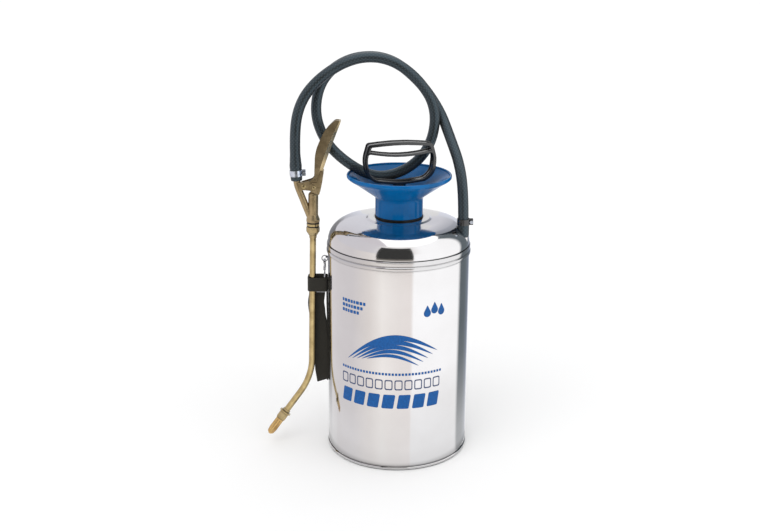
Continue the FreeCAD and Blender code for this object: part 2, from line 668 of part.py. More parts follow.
def make_valve_body():
    body = revolve("valve_body", [
        ("5.1", "-0.85"), ("9.3", "-0.85"), ("9.5", "0.4"), ("9.5", "3"), ("7.7", "7.4"),
        ("7", "9.6"), ("7", "42.6"), ("stem_r + slip", "42.6"), ("stem_r + slip", "34"),
        ("4.6", "34"), ("4.6", "9"), ("5.1", "9"),
    ])
    soften(body, "4.6", ring_at("7", "42.6"))
    # the gooseneck: a straight pipe out of the barrel, bent upright into the hose
    knee = Vector(-23.0, 52.4, 0)
    foot = Vector(-3.6, 4.4, 0)
    top = Vector(BARB_FOOT.x, BARB_FOOT.z, 0) + Vector(barb_up.x, barb_up.z, 0) * 26
    for kind, radius in (("AdditivePipe", "hose_bore - 0.02"), ("SubtractivePipe", "3.1")):
        spine = sketch_on(body, "XZ_Plane")
        down, up = (foot - knee), (top - knee)
        half = down.getAngle(up) / 2
        reach = 7.0
        radius_bend = reach * math.tan(half)
        down.normalize()
        up.normalize()
        start, end = knee + down * reach, knee + up * reach
        middle = knee + (down + up).normalize() * (radius_bend / math.sin(half) - radius_bend)
        spine.addGeometry(Part.LineSegment(foot, start))
        spine.addGeometry(Part.Arc(start, middle, end))
        spine.addGeometry(Part.LineSegment(end, top))
        for geometry in range(3):
            spine.addConstraint(Sketcher.Constraint("Block", geometry))
        section = body.newObject("Sketcher::SketchObject", "gooseneck_section")
        section.AttachmentSupport = [(plane_of(body, "XY_Plane"), "")]
        section.MapMode = "FlatFace"
        lean = math.degrees(math.atan2(foot.x - knee.x, knee.y - foot.y))
        section.AttachmentOffset = Placement(
            Vector(foot.x, 0, foot.y), Rotation(Vector(0, 1, 0), -lean)
        )
        circle(section, "0", "0", radius)
        pipe = body.newObject("PartDesign::" + kind, "gooseneck_" + kind)
        pipe.Profile = section
        pipe.Spine = (spine, ["Edge1", "Edge2", "Edge3"])
    extrude(body, "XZ_Plane", lambda s: polygon(s, [
        ("-21.5", "56"), ("pivot_x", "pivot_z + 4.2"), ("pivot_x + 2.6", "pivot_z - 3.3"),
        ("-19", "43.6"),
    ]), "10.4", symmetric=True)
    extrude(body, "XZ_Plane", lambda s: circle(s, "pivot_x", "pivot_z", "4.2"),
            "10.4", symmetric=True)
    extrude(body, "XZ_Plane", lambda s: circle(s, "pivot_x", "pivot_z", "pin_r"),
            "30", kind="Pocket", symmetric=True)
    # the stem's bore stays open where the gooseneck joins the barrel
    extrude(body, "XY_Plane", lambda s: circle(s, "0", "0", "4.6"),
            "25", kind="Pocket", offset="8.9", reverse=True)
    extrude(body, "XY_Plane", lambda s: circle(s, "0", "0", "5.1"),
            "10", kind="Pocket", offset="-0.9", reverse=True)
    keep(place(body, VALVE), "valve_body")


def make_valve_insides():
    seat = revolve("valve_seat", [
        ("2.2", "-6.3"), ("9.1", "-6.3"), ("9.1", "-3.05"), ("5", "-3.05"), ("5", "6"),
        ("2.2", "6"),
    ])
    keep(place(seat, VALVE), "valve_seat")
    washer = revolve("seat_washer", [
        ("5.15", "-3"), ("8.8", "-3"), ("8.8", "-0.9"), ("5.15", "-0.9"),
    ])
    keep(place(washer, VALVE), "seat_washer")
    seal = revolve("stem_seal", [("0", "6.05"), ("3.8", "6.05"), ("3.8", "8.9"), ("0", "8.9")])
    keep(place(seal, VALVE), "stem_seal")
    shaft = revolve("stem_shaft", [
        ("0", "8.95"), ("3.9", "8.95"), ("3.9", "11"), ("stem_r", "11"), ("stem_r", "link_z - 2"),
        ("0", "link_z - 2"),
    ])
    eye = cylinder("stem_eye", "4.1", "10", ("link_x", "-5", "link_z"), Vector(0, 1, 0))
    hole = cylinder("stem_hole", "pin_r", "12", ("link_x", "-6", "link_z"), Vector(0, 1, 0))
    stem = cut("valve_stem", fuse("stem_blank", shaft, eye), hole)
    keep(place(stem, VALVE), "valve_stem")
    packing = revolve("stem_packing", [
        ("stem_r + slip", "31"), ("4.5", "31"), ("4.5", "33.95"), ("stem_r + slip", "33.95"),
    ])
    keep(place(packing, VALVE), "stem_packing")
    spring = new_body("stem_spring")
    section = sketch_on(spring, "XZ_Plane")
    circle(section, "3.4", "11.6", "0.45")
    coil = spring.newObject("PartDesign::AdditiveHelix", "stem_spring_coil")
    coil.Profile = section
    coil.ReferenceAxis = (section, ["V_Axis"])
    coil.Mode = "height-turns-angle"
    coil.Height = 18.6
    coil.Turns = 7
    coil.Angle = 0
    keep(place(spring, VALVE), "stem_spring")


def make_pins():
    """Two rivets with domed heads, turned about their own axis and laid across the valve."""
    pins = (("fulcrum_pin", "pivot_x", "pivot_z", "lever_half + 0.1", "3"),
            ("link_pin", "link_x", "link_z", "lever_half + 1.5", "2.6"))
    for name, x, z, half, head in pins:
        shank = "pin_r - 0.03"
        front = [("0", f"-({half}) - 1"), (f"{head} * 0.6", f"-({half}) - 0.9"),
                 (head, f"-({half}) - 0.3"), (head, f"-({half})"), (shank, f"-({half})")]
        back = [(shank, half), (head, half), (head, f"{half} + 0.3"),
                (f"{head} * 0.6", f"{half} + 0.9"), ("0", f"{half} + 1")]
        rivet = revolve(name, front + back)
        across = Placement(Vector(size(x), 0, size(z)), Rotation(Vector(1, 0, 0), -90))
        keep(place(rivet, VALVE.multiply(across)), name)


LEVER_OUTLINE = [
    (-18.2, 46.4, 4.4), (-18.0, 55.8, 3.6), (1.4, 62.0, 9), (2.0, 101, 60), (14.8, 131.5, 60),
    (29.5, 146.2, 5), (37.8, 145.6, 1.6), (20.6, 97, 150), (8.7, 60, 30), (7.2, 44.8, 5),
]


# the lever's ridge: height, place along X, and the fall of its two flanks per millimetre
LEVER_RIDGE = [
    (54, 5.6, 0, 0), (64, 7.2, 0.02, 0.03), (78, 9.6, 0.2, 0.42), (100, 16.4, 0.24, 0.52),
    (122, 25, 0.24, 0.52), (136, 31.4, 0.22, 0.46), (150, 37.6, 0.2, 0.4),
]


def lever_roof(half):
    """A long solid with a ridge along its front and its back, which shapes the lever's blade."""
    reach_left, reach_right = 24, 12
    rings = []
    for z, x, left, right in LEVER_RIDGE:
        front = [(x - reach_left, -half + reach_left * left), (x, -half),
                 (x + reach_right, -half + reach_right * right)]
        ring = [Vector(a, b, z) for a, b in front + [(a, -b) for a, b in reversed(front)]]
        rings.append(Part.makePolygon(ring + ring[:1]))
    return Part.makeLoft(rings, True, True)


def make_lever():
    half, inside = size("lever_half"), size("cheek")
    blade_inside = 3.1
    whole = plate(LEVER_OUTLINE, -half, half)
    low = Part.makeBox(80, 4 * half, 56, Vector(-40, -2 * half, 0))
    outer = whole.common(lever_roof(half)).fuse(whole.common(low))
    hollow = plate([
        (-40, 30, 1), (-40, 66, 1), (6.7, 66, 1), (5.6, 58, 1), (30, 57, 0.5), (30, 30, 1),
    ], -inside, inside)
    channel = plate([
        (-40, 60, 1), (-40, 170, 1), (43.4, 170, 1), (17.6, 97.6, 60), (6.3, 60, 1),
    ], -blade_inside, blade_inside)
    lever = outer.cut(hollow).cut(channel)
    across = Vector(0, 1, 0)
    pivot = Part.makeCylinder(size("pin_r") + 0.03, 40,
                              Vector(size("pivot_x"), -20, size("pivot_z")), across)
    slot_r = size("pin_r") + 0.12
    link = Part.makeCylinder(slot_r, 40, Vector(size("link_x") - 0.55, -20, size("link_z")), across)
    link = link.fuse(Part.makeCylinder(
        slot_r, 40, Vector(size("link_x") + 0.25, -20, size("link_z")), across))
    between = Part.makeBox(0.8, 40, 2 * slot_r,
                           Vector(size("link_x") - 0.55, -20, size("link_z") - slot_r))
    lever = lever.cut(pivot).cut(link.fuse(between)).removeSplitter()
    keep(made("lever", lever, VALVE), "lever")


LATCH_OUTLINE = [
    (-4.4, 44.9, 5), (-4.2, 57.4, 4.6), (5.6, 57.2, 3), (7.6, 64.5, 12), (10.6, 73.6, 1.2),
    (14.6, 74.0, 1.2), (12.6, 59, 30), (9.0, 40.6, 0.8), (7.0, 40.4, 0.8),
]


def make_latch():
    half = size("lever_half")
    inner, outer = half + 0.15, half + 1.4
    latch = plate(LATCH_OUTLINE, -outer, outer)
    latch = latch.cut(plate([
        (-20, 30, 1), (-20, 90, 1), (10, 90, 1), (13.6, 73.9, 1), (11.4, 59.2, 1),
        (30, 58, 0.5), (30, 30, 1),
    ], -inner, inner))
    pin = Part.makeCylinder(size("pin_r") + 0.02, 40,
                            Vector(size("link_x"), -20, size("link_z")), Vector(0, 1, 0))
    keep(made("lock_latch", latch.cut(pin).removeSplitter(), VALVE), "lock_latch")


# ---------------------------------------------------------------- wand and nozzle


def make_wand():
    rim = revolve("nut_turned", [
        ("tube_r + slip", "-24.2"), ("5.2", "-24.2"), ("5.4", "-20.4"), ("6.3", "-19.8"),
        ("9.5", "-14.6"), ("9.5", "-8.9"), ("8.9", "-8.1"), ("6.6", "-8.1"), ("6.6", "-14"),
        ("tube_r + slip", "-14"),
    ])
    flats = doc.addObject("Part::Prism", "nut_flats")
    flats.Polygon = 6
    flats.Circumradius = 10.3
    flats.Height = 30
    flats.Placement = Placement(Vector(0, 0, -30), Rotation(Z_AXIS, 15))
    keep(place(common("wand_nut", rim, flats), VALVE), "wand_nut")
    packing = revolve("wand_packing", [
        ("tube_r + 0.1", "-8"), ("8.5", "-8"), ("8.5", "-6.35"), ("tube_r + 0.1", "-6.35"),
    ])
    keep(place(packing, VALVE), "wand_packing")
    collar = revolve("wand_collar", [
        ("tube_r", "-13.9"), ("6.5", "-13.9"), ("6.5", "-8.05"), ("tube_r", "-8.05"),
    ])
    keep(place(collar, VALVE), "wand_collar")

    tube = new_body("wand_tube")
    reach = size("bend_r") * math.tan(bend / 2)
    corner = Vector(0, size("bend_z"), 0)
    ahead = Vector(-math.sin(bend), -math.cos(bend), 0)
    start = corner + Vector(0, reach, 0)
    end = corner + ahead * reach
    centre = start + Vector(-size("bend_r"), 0, 0)
    middle = centre + Vector(math.cos(bend / 2), -math.sin(bend / 2), 0) * size("bend_r")
    tip = corner + ahead * size("bend_run")
    for kind, radius in (("AdditivePipe", "tube_r"), ("SubtractivePipe", "tube_bore")):
        spine = sketch_on(tube, "XZ_Plane")
        spine.addGeometry(Part.LineSegment(Vector(0, -8.05, 0), start))
        spine.addGeometry(Part.Arc(start, middle, end))
        spine.addGeometry(Part.LineSegment(end, tip))
        for geometry in range(3):
            spine.addConstraint(Sketcher.Constraint("Block", geometry))
        section = sketch_on(tube, "XY_Plane")
        section.AttachmentOffset = Placement(Vector(0, 0, -8.05), Rotation())
        circle(section, "0", "0", radius)
        pipe = tube.newObject("PartDesign::" + kind, "wand_" + kind)
        pipe.Profile = section
        pipe.Spine = (spine, ["Edge1", "Edge2", "Edge3"])
    keep(place(tube, WAND), "wand_tube")


def make_nozzle():
    # nozzle frame: +Z points out of the tip, and the tube ends at the height 0
    turned = revolve("nozzle_turned", [
        ("tube_r + 0.02", "-4"), ("5.7", "-4"), ("5.7", "-0.6"), ("8.5", "-0.6"), ("8.5", "1.3"),
        ("7.5", "1.5"), ("7.5", "11.2"), ("7", "11.8"), ("5.3", "11.8"), ("5.3", "12.3"),
        ("4.4", "12.3"), ("4.4", "22"), ("3", "22"),
        ("3", "0.02"), ("tube_r + 0.02", "0.02"),
    ])
    hexagon = doc.addObject("Part::Prism", "nozzle_hexagon")
    hexagon.Polygon = 6
    hexagon.Circumradius = 7.55
    hexagon.Height = 25
    hexagon.Placement = Placement(Vector(0, 0, 1.3), Rotation())
    rest = cylinder("nozzle_rest", "9", "6.3", ("0", "0", "-5"))
    body = common("nozzle_body", turned, fuse("nozzle_keep", hexagon, rest))
    keep(place(body, NOZZLE), "nozzle_body")
    ring = revolve("nozzle_oring", [
        ("4.43", "13.5"), ("5.1", "13.5"), ("5.1", "15.1"), ("4.43", "15.1"),
    ])
    keep(place(ring, NOZZLE), "nozzle_oring")
    core = revolve("nozzle_core", [
        ("0", "14"), ("2.95", "14"), ("2.95", "22.4"), ("1.6", "22.8"), ("0.7", "33.5"),
        ("0", "34"),
    ])
    keep(place(core, NOZZLE), "nozzle_core")
    tip = revolve("nozzle_tip", [
        ("5.15", "12.5"), ("5.9", "12.5"), ("5.9", "14"), ("5.7", "14.4"), ("5.7", "30"),
        ("4.7", "36.4"), ("2", "39"), ("0.8", "39"), ("0.8", "36"), ("2.4", "34.4"), ("2.4", "23.4"),
        ("4.46", "23.4"), ("4.46", "15.3"), ("5.15", "15.3"),
    ])
    soften(tip, "2.2", ring_at("4.7", "36.4"))
    flute = extrude(tip, "XY_Plane", lambda s: circle(s, "6.55", "0", "1.6"),
                    "18", kind="Pocket", offset="15.5", reverse=True)
    doc.recompute()
    flutes = tip.newObject("PartDesign::PolarPattern", "nozzle_flutes")
    flutes.Originals = [flute]
    flutes.Axis = (plane_of(tip, "Z_Axis"), [""])
    flutes.Angle = 360
    flutes.Occurrences = 8
    tip.Tip = flutes
    keep(place(tip, NOZZLE), "nozzle_tip")


# ---------------------------------------------------------------- carrying strap


def torus(name, big, small, centre, axis):
    ring = doc.addObject("Part::Torus", name)
    ring.Radius1 = big
    ring.Radius2 = small
    ring.Placement = Placement(Vector(*centre), Rotation(Z_AXIS, axis))
    return ring


def make_strap_hardware():
    y = size("eye_y")
    staple = torus("eye_staple", 3.6, 0.9, (-99.7, y, 277.5), Z_AXIS)
    wall = cylinder("eye_wall", "tank_r", "20", ("0", "0", "267"))
    keep(cut("strap_eye", staple, wall), "strap_eye")
    keep(torus("strap_ring", 4.2, 0.7, (-105, y, 275.6), Vector(0, 1, 0)), "strap_ring")
    # the snap hook lies in the YZ plane, so that the ring passes through it
    x = -105.3
    turn = Rotation(Z_AXIS, 90)

    def upright(points, thick):
        solid = plate(points, -thick / 2, thick / 2)
        solid.Placement = Placement(Vector(x, y, 0), turn)
        return solid

    outside = [(-4.5, 258.5, 2), (-4.5, 274.6, 3.6), (4.5, 274.6, 3.6), (4.5, 258.5, 2)]
    inside = [(-2.4, 261.5, 1), (-2.4, 272.4, 2.2), (2.4, 272.4, 2.2), (2.4, 261.5, 1)]
    hook = upright(outside, 3.2).cut(upright(inside, 8))
    mouth = [(-6, 264.6, 0.3), (-6, 269.6, 0.3), (-1, 269.6, 0.3), (-1, 264.6, 0.3)]
    hinge = [(-6, 262, 0.3), (-6, 266, 0.3), (-1, 266, 0.3), (-1, 262, 0.3)]
    hook = hook.cut(upright(mouth, 8)).cut(upright(hinge, 1.8))
    neck = Part.makeCylinder(0.95, 10, Vector(x, y, 253.5))
    pivot = Vector(x - 1.6, y - 3.45, 263.3)
    hook = hook.cut(neck).cut(Part.makeCylinder(0.4, 3.2, pivot, Vector(1, 0, 0)))
    keep(made("snap_hook", hook), "snap_hook")
    gate = [(-4.4, 262.35, 0.94), (-4.4, 269.4, 0.5), (-2.5, 269.4, 0.5), (-2.5, 262.35, 0.94)]
    gate = upright(gate, 1.6).cut(Part.makeCylinder(0.46, 3.2, pivot, Vector(1, 0, 0)))
    keep(made("hook_gate", gate), "hook_gate")
    keep(made("gate_pin", Part.makeCylinder(0.4, 3.2, pivot, Vector(1, 0, 0))), "gate_pin")
    stud = Part.makeCylinder(0.9, 8.4, Vector(x, y, 253.5))
    stud = stud.fuse(Part.makeCylinder(1.8, 0.9, Vector(x, y, 261.6)))
    loop = upright([(-3.9, 246, 1), (-3.9, 254.6, 1.6), (3.6, 254.6, 1.6), (3.6, 246, 1)], 1.8)
    loop = loop.cut(upright([(-2.4, 247.6, 0.4), (-2.4, 253, 0.6), (2.1, 253, 0.6),
                             (2.1, 247.6, 0.4)], 8))
    keep(made("hook_swivel", stud.fuse(loop).removeSplitter()), "hook_swivel")


def flat_loop(low, high, inner, thick, radius):
    """A band round a rounded rectangle (x0, x1, y0, y1) in plan, from low to high."""

    def filled(grow):
        x0, x1, y0, y1 = inner
        x0, x1, y0, y1 = x0 - grow, x1 + grow, y0 - grow, y1 + grow
        solid = Part.makeBox(x1 - x0, y1 - y0, high - low, Vector(x0, y0, low))
        upright = [e for e in solid.Edges if e.BoundBox.ZLength > 1]
        return solid.makeFillet(radius + grow, upright)

    return filled(thick).cut(filled(0))


def make_strap():
    thick = size("webbing_t")
    wrap = flat_loop(size("wrap_low"), size("wrap_high"), (-128.2, -102.4, 0.1, 18.6), thick, 2.5)
    keep(made("strap_wrap", wrap), "strap_wrap")
    bundle = plate([
        (-105.6, 250.5, 2), (-126, 250.5, 2), (-127.6, 222, 6), (-131.6, 208, 8),
        (-128.6, 180, 40), (-125, 150, 40), (-121.6, 112, 30), (-118.2, 81.6, 1.5),
        (-113.6, 81, 3), (-100.7, 87.2, 1.5), (-100.3, 130, 60), (-100.3, 180, 30),
        (-107.6, 208, 8), (-105.6, 222, 8),
    ], 9.9, 17.9)
    keep(made("strap_bundle", bundle), "strap_bundle")
    slide = plate([(-117.6, 223.4, 1.2), (-117.6, 240, 1.2), (-104.4, 240, 1.2),
                   (-104.4, 223.4, 1.2)], 7.9, 9.5)
    slide = slide.cut(plate([(-115.6, 226, 0.5), (-115.6, 230.4, 0.5), (-106.4, 230.4, 0.5),
                             (-106.4, 226, 0.5)], 7, 10))
    slide = slide.cut(plate([(-115.6, 232.6, 0.5), (-115.6, 237.6, 0.5), (-106.4, 237.6, 0.5),
                             (-106.4, 232.6, 0.5)], 7, 10))
    keep(made("strap_slide", slide), "strap_slide")


# ---------------------------------------------------------------- the whole sprayer


def write_out():
    doc.recompute()
    for thing in doc.Objects:
        if "Invalid" in thing.State or "Error" in thing.State:
            raise RuntimeError(f"{thing.Name} ({thing.Label}) is {thing.State}")
    for thing in subparts:
        shape = thing.Shape
        if shape.isNull() or not shape.isValid() or not shape.Solids:
            raise RuntimeError(f"{thing.Label} has no valid solid")
    os.makedirs("parts", exist_ok=True)
    for thing in subparts:
        thing.Shape.exportStep(f"parts/{thing.Label}.step")
    print(len(subparts), "sub-parts")


make_tank()
volume_under_dome = make_dome()
make_neck()
make_pump()
make_plunger()
make_handle()
make_outlet(volume_under_dome)
doc.recompute()
make_hose(volume_under_dome)
tank_clamp_at = OUTLET.multiply(Placement(Vector(0, 0, 17.2), Rotation()))
valve_clamp_at = BARB.multiply(Placement(Vector(0, 0, 6.4), Rotation()))
make_clamp("tank_clamp", tank_clamp_at, "tank_clamp_screw")
make_clamp("valve_clamp", valve_clamp_at, "valve_clamp_screw")
make_valve_body()
make_valve_insides()
make_pins()
make_lever()
make_latch()
make_wand()
make_nozzle()
make_strap_hardware()
make_strap()
write_out()
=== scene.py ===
"""Looks of the stainless pump sprayer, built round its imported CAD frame.

The scene is in metres, with +Z up. The tank, the funnel, the handle, the strap's tables and the
label are given in millimetres, and a number times MM is in metres.
"""

import math

import bmesh
import bpy
from mathutils import Matrix, Vector


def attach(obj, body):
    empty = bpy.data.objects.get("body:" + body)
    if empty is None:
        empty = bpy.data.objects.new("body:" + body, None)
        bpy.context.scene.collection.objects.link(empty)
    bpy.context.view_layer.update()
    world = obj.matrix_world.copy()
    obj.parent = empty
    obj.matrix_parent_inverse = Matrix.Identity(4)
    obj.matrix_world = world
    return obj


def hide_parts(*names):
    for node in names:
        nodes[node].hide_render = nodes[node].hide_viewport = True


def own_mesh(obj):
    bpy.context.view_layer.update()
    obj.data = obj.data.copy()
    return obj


MM = 0.001
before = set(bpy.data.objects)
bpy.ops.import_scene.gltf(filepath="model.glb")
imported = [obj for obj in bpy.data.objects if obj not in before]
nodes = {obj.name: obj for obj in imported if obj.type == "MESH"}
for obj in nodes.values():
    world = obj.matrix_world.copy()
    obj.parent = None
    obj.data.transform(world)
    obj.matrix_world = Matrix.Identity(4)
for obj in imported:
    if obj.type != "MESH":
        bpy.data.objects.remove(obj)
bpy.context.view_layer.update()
scene = bpy.context.scene

# ------------------------------------------------------------------ camera

CAMERA_AT = Vector((0.0098, -1.5378, 0.7646))
CAMERA_DOWN = math.radians(14.14)
CAMERA_RIGHT = math.radians(0.68)
CAMERA_ROLL = math.radians(0.82)
CAMERA_LENS = 53.69
CAMERA_SENSOR = 36
CAMERA_SHIFT = (-0.0517, -0.0988)


def make_camera():
    data = bpy.data.cameras.new("camera")
    data.lens = CAMERA_LENS
    data.sensor_width = CAMERA_SENSOR
    data.shift_x, data.shift_y = CAMERA_SHIFT
    camera = bpy.data.objects.new("camera", data)
    scene.collection.objects.link(camera)
    tilt = Matrix.Rotation(math.pi / 2 - CAMERA_DOWN, 4, "X")
    turn = Matrix.Rotation(-CAMERA_RIGHT, 4, "Z")
    roll = Matrix.Rotation(CAMERA_ROLL, 4, "Z")
    camera.matrix_world = Matrix.Translation(CAMERA_AT) @ turn @ tilt @ roll
    scene.camera = camera


# ------------------------------------------------------------------ materials

# sockets of a Mix node that mixes colours
MIX_FIRST, MIX_SECOND, MIX_RESULT = 6, 7, 2


def scaled(color, factor):
    return tuple(min(1, part * factor) for part in color)


class Surface:
    """A node material, with short ways to add and join nodes."""

    def __init__(self, name, color, roughness, metallic=0.0, **sockets):
        self.material = bpy.data.materials.new(name)
        self.material.use_nodes = True
        self.tree = self.material.node_tree
        self.shader = self.tree.nodes["Principled BSDF"]
        self.shader.inputs["Base Color"].default_value = (*color, 1)
        self.shader.inputs["Roughness"].default_value = roughness
        self.shader.inputs["Metallic"].default_value = metallic
        for socket, value in sockets.items():
            self.shader.inputs[socket.replace("_", " ")].default_value = value
        self.space = self.tree.nodes.new("ShaderNodeTexCoord")

    def add(self, kind, **settings):
        made = self.tree.nodes.new("ShaderNode" + kind)
        for key, value in settings.items():
            setattr(made, key, value)
        return made

    def join(self, source, target):
        self.tree.links.new(source, target)

    def noise(self, scale, detail, stretch=(1, 1, 1)):
        """A cloudy value in the piece's own space, finer with a larger scale."""
        mapping = self.add("Mapping")
        mapping.inputs["Scale"].default_value = stretch
        self.join(self.space.outputs["Object"], mapping.inputs["Vector"])
        texture = self.add("TexNoise")
        texture.inputs["Scale"].default_value = scale
        texture.inputs["Detail"].default_value = detail
        self.join(mapping.outputs["Vector"], texture.inputs["Vector"])
        return texture.outputs["Fac"]

    def spread(self, value, low, high, start=0.3, end=0.7):
        """The value, stretched from start..end to low..high."""
        ranged = self.add("MapRange")
        for socket, number in zip(("From Min", "From Max", "To Min", "To Max"),
                                  (start, end, low, high)):
            ranged.inputs[socket].default_value = number
        self.join(value, ranged.inputs["Value"])
        return ranged.outputs["Result"]

    def rough(self, value, low, high):
        """Varies the roughness from low to high with the value."""
        self.join(self.spread(value, low, high), self.shader.inputs["Roughness"])

    def tint(self, value, dark, light, start=0.35, end=0.65):
        """Varies the colour from dark to light while the value goes from start to end."""
        ramp = self.add("ValToRGB")
        ramp.color_ramp.elements[0].color = (*dark, 1)
        ramp.color_ramp.elements[1].color = (*light, 1)
        ramp.color_ramp.elements[0].position = start
        ramp.color_ramp.elements[1].position = end
        self.join(value, ramp.inputs["Fac"])
        self.join(ramp.outputs["Color"], self.shader.inputs["Base Color"])

    def darken(self, share):
        """Multiplies the colour so far by that share."""
        color = self.shader.inputs["Base Color"].links[0].from_socket
        mix = self.add("Mix", data_type="RGBA", blend_type="MULTIPLY")
        mix.inputs["Factor"].default_value = 1.0
        self.join(color, mix.inputs[MIX_FIRST])
        self.join(share, mix.inputs[MIX_SECOND])
        self.join(mix.outputs[MIX_RESULT], self.shader.inputs["Base Color"])

    def painted_crevice_shade(self, reach, darkest, start=0.3, end=0.85):
        """Paints shade into the colour where other surfaces are nearer than the reach in metres.
        """
        corner = self.add("AmbientOcclusion", samples=8)
        corner.inputs["Distance"].default_value = reach
        self.darken(self.spread(corner.outputs["AO"], darkest, 1.0, start, end))

    def painted_left_shade(self, darkest):
        """Paints shade on the faces that look towards -X in the piece's own space."""
        split = self.add("SeparateXYZ")
        self.join(self.space.outputs["Normal"], split.inputs["Vector"])
        self.darken(self.spread(split.outputs["X"], darkest, 1.0, -0.21, -0.1))

    def combine(self, operation, one, two):
        """The sum, product or difference of two values, each a socket or a number."""
        math_node = self.add("Math", operation=operation)
        for socket, value in zip(math_node.inputs, (one, two)):
            if isinstance(value, (int, float)):
                socket.default_value = value
            else:
                self.join(value, socket)
        return math_node.outputs["Value"]

    def bump(self, height, depth, strength=1.0):
        """Adds a bump of that depth in metres on top of the ones before it."""
        bump = self.add("Bump")
        bump.inputs["Strength"].default_value = strength
        bump.inputs["Distance"].default_value = depth
        self.join(height, bump.inputs["Height"])
        links = self.shader.inputs["Normal"].links
        if links:
            self.join(links[0].from_socket, bump.inputs["Normal"])
        self.join(bump.outputs["Normal"], self.shader.inputs["Normal"])


STEEL_PLAIN = (0.66, 0.65, 0.65)
STEEL_SMUDGED = (0.635, 0.625, 0.63)
STEEL_CLEAN = (0.685, 0.68, 0.69)


def polished_steel(name="polished_steel", shade=1.0):
    """Bright stainless sheet, with fine turned lines round it and faint handling marks."""
    steel = Surface(name, STEEL_PLAIN, 0.1, metallic=1.0)
    lines = steel.noise(1.0, 2.0, (4, 4, 2600))
    smudge = steel.noise(14.0, 4.0)
    steel.rough(steel.combine("ADD", steel.combine("MULTIPLY", lines, 0.5),
                              steel.combine("MULTIPLY", smudge, 0.5)), 0.055, 0.13)
    steel.tint(smudge, scaled(STEEL_SMUDGED, shade), scaled(STEEL_CLEAN, shade), 0.3, 0.7)
    # painted shade in the crevices, such as the dark line at the foot
    steel.painted_crevice_shade(0.003, 0.1, 0.45, 0.95)
    steel.bump(lines, 0.00002, 0.1)
    steel.bump(steel.noise(9.0, 1.0), 0.0005, 0.06)
    return steel.material


def plated_steel(name, color, low, high):
    """Small plated or bare steel pieces."""
    metal = Surface(name, color, 0.3, metallic=1.0)
    grain = metal.noise(900.0, 3.0)
    metal.rough(metal.noise(160.0, 4.0), low, high)
    metal.tint(metal.noise(220.0, 3.0), scaled(color, 0.82), color, 0.3, 0.6)
    # painted shade in the crevices
    metal.painted_crevice_shade(0.0015, 0.2)
    metal.bump(grain, 0.00003, 0.3)
    return metal.material


def brass(name, light, dark, low, high, left_side=1.0, crevice_shade=(0.001, 0.4, 0.3, 0.85)):
    """Satin brass that has dulled in patches, with painted shade in its crevices.

    low and high are its roughness, left_side is how much of its colour is left on faces that
    look towards -X as painted shade, and the last argument goes to the method that paints shade in
    crevices.
    """
    metal = Surface(name, light, 0.3, metallic=1.0)
    patches = metal.noise(70.0, 5.0)
    metal.tint(patches, dark, light, 0.32, 0.62)
    # painted shade on the faces that look towards -X
    if left_side < 1.0:
        metal.painted_left_shade(left_side)
    # painted shade in the crevices
    metal.painted_crevice_shade(*crevice_shade)
    metal.rough(metal.noise(210.0, 4.0), low, high)
    metal.bump(metal.noise(1300.0, 3.0), 0.00003, 0.25)
    metal.bump(metal.noise(260.0, 2.0), 0.00008, 0.18)
    return metal.material


def moulded(name, color, low, high, grain=0.3, mottle=0.12, **sockets):
    """Injection-moulded plastic: nearly even colour and a very fine skin."""
    plastic = Surface(name, color, 0.3, **sockets)
    plastic.tint(plastic.noise(38.0, 4.0), scaled(color, 1 - mottle), scaled(color, 1 + mottle))
    plastic.rough(plastic.noise(120.0, 4.0), low, high)
    plastic.bump(plastic.noise(2200.0, 2.0), 0.00002, grain)
    plastic.bump(plastic.noise(60.0, 2.0), 0.0002, 0.1)
    return plastic.material


WEAVE_SCALE = 88.0
WEAVE_LEAN = 48


def hose_cover():
    """Black rubber with the print of the cloth that it was cured in, in UV metres."""
    # the bluish specular tint is a painted reflection colour
    cover = Surface("hose_cover", (0.02, 0.02, 0.02), 0.5, Specular_IOR_Level=0.7,
                    Specular_Tint=(0.5, 0.78, 1.0, 1.0))
    heights = []
    for lean in (WEAVE_LEAN, -WEAVE_LEAN):
        wave = cover.add("TexWave", wave_type="BANDS", bands_direction="X")
        wave.inputs["Scale"].default_value = WEAVE_SCALE
        wave.inputs["Distortion"].default_value = 0.4
        mapping = cover.add("Mapping")
        mapping.inputs["Rotation"].default_value = (0, 0, math.radians(lean))
        cover.join(cover.space.outputs["UV"], mapping.inputs["Vector"])
        cover.join(mapping.outputs["Vector"], wave.inputs["Vector"])
        heights.append(wave.outputs["Fac"])
    weave = cover.combine("MULTIPLY", *heights)
    scuffs = cover.noise(55.0, 5.0)
    cover.tint(cover.combine("ADD", weave, cover.combine("MULTIPLY", scuffs, 0.3)),
               (0.017, 0.017, 0.0155), (0.046, 0.045, 0.041), 0.15, 1.1)
    cover.rough(scuffs, 0.3, 0.46)
    cover.bump(weave, 0.0002, 0.4)
    cover.bump(cover.noise(900.0, 2.0), 0.00004, 0.3)
    return cover.material


def webbing():
    """Black polypropylene webbing: rows of small raised picks, in UV metres."""
    cloth = Surface("webbing", (0.014, 0.014, 0.012), 0.6, Sheen_Weight=0.12,
                    Sheen_Roughness=0.4, Specular_IOR_Level=0.2)
    weave = cloth.add("TexBrick", offset=0.5)
    for socket, value in (("Scale", 1.0), ("Mortar Size", 0.00022), ("Mortar Smooth", 1.0),
                          ("Brick Width", 0.0021), ("Row Height", 0.00115)):
        weave.inputs[socket].default_value = value
    cloth.join(cloth.space.outputs["UV"], weave.inputs["Vector"])
    fuzz = cloth.noise(1500.0, 3.0)
    cloth.tint(cloth.combine("ADD", cloth.combine("MULTIPLY", weave.outputs["Fac"], -0.4),
                             fuzz), (0.008, 0.0074, 0.006), (0.042, 0.039, 0.030), 0.1, 0.65)
    cloth.rough(fuzz, 0.5, 0.75)
    cloth.bump(cloth.combine("SUBTRACT", 1.0, weave.outputs["Fac"]), 0.0003, 0.8)
    cloth.bump(fuzz, 0.00008, 0.5)
    return cloth.material


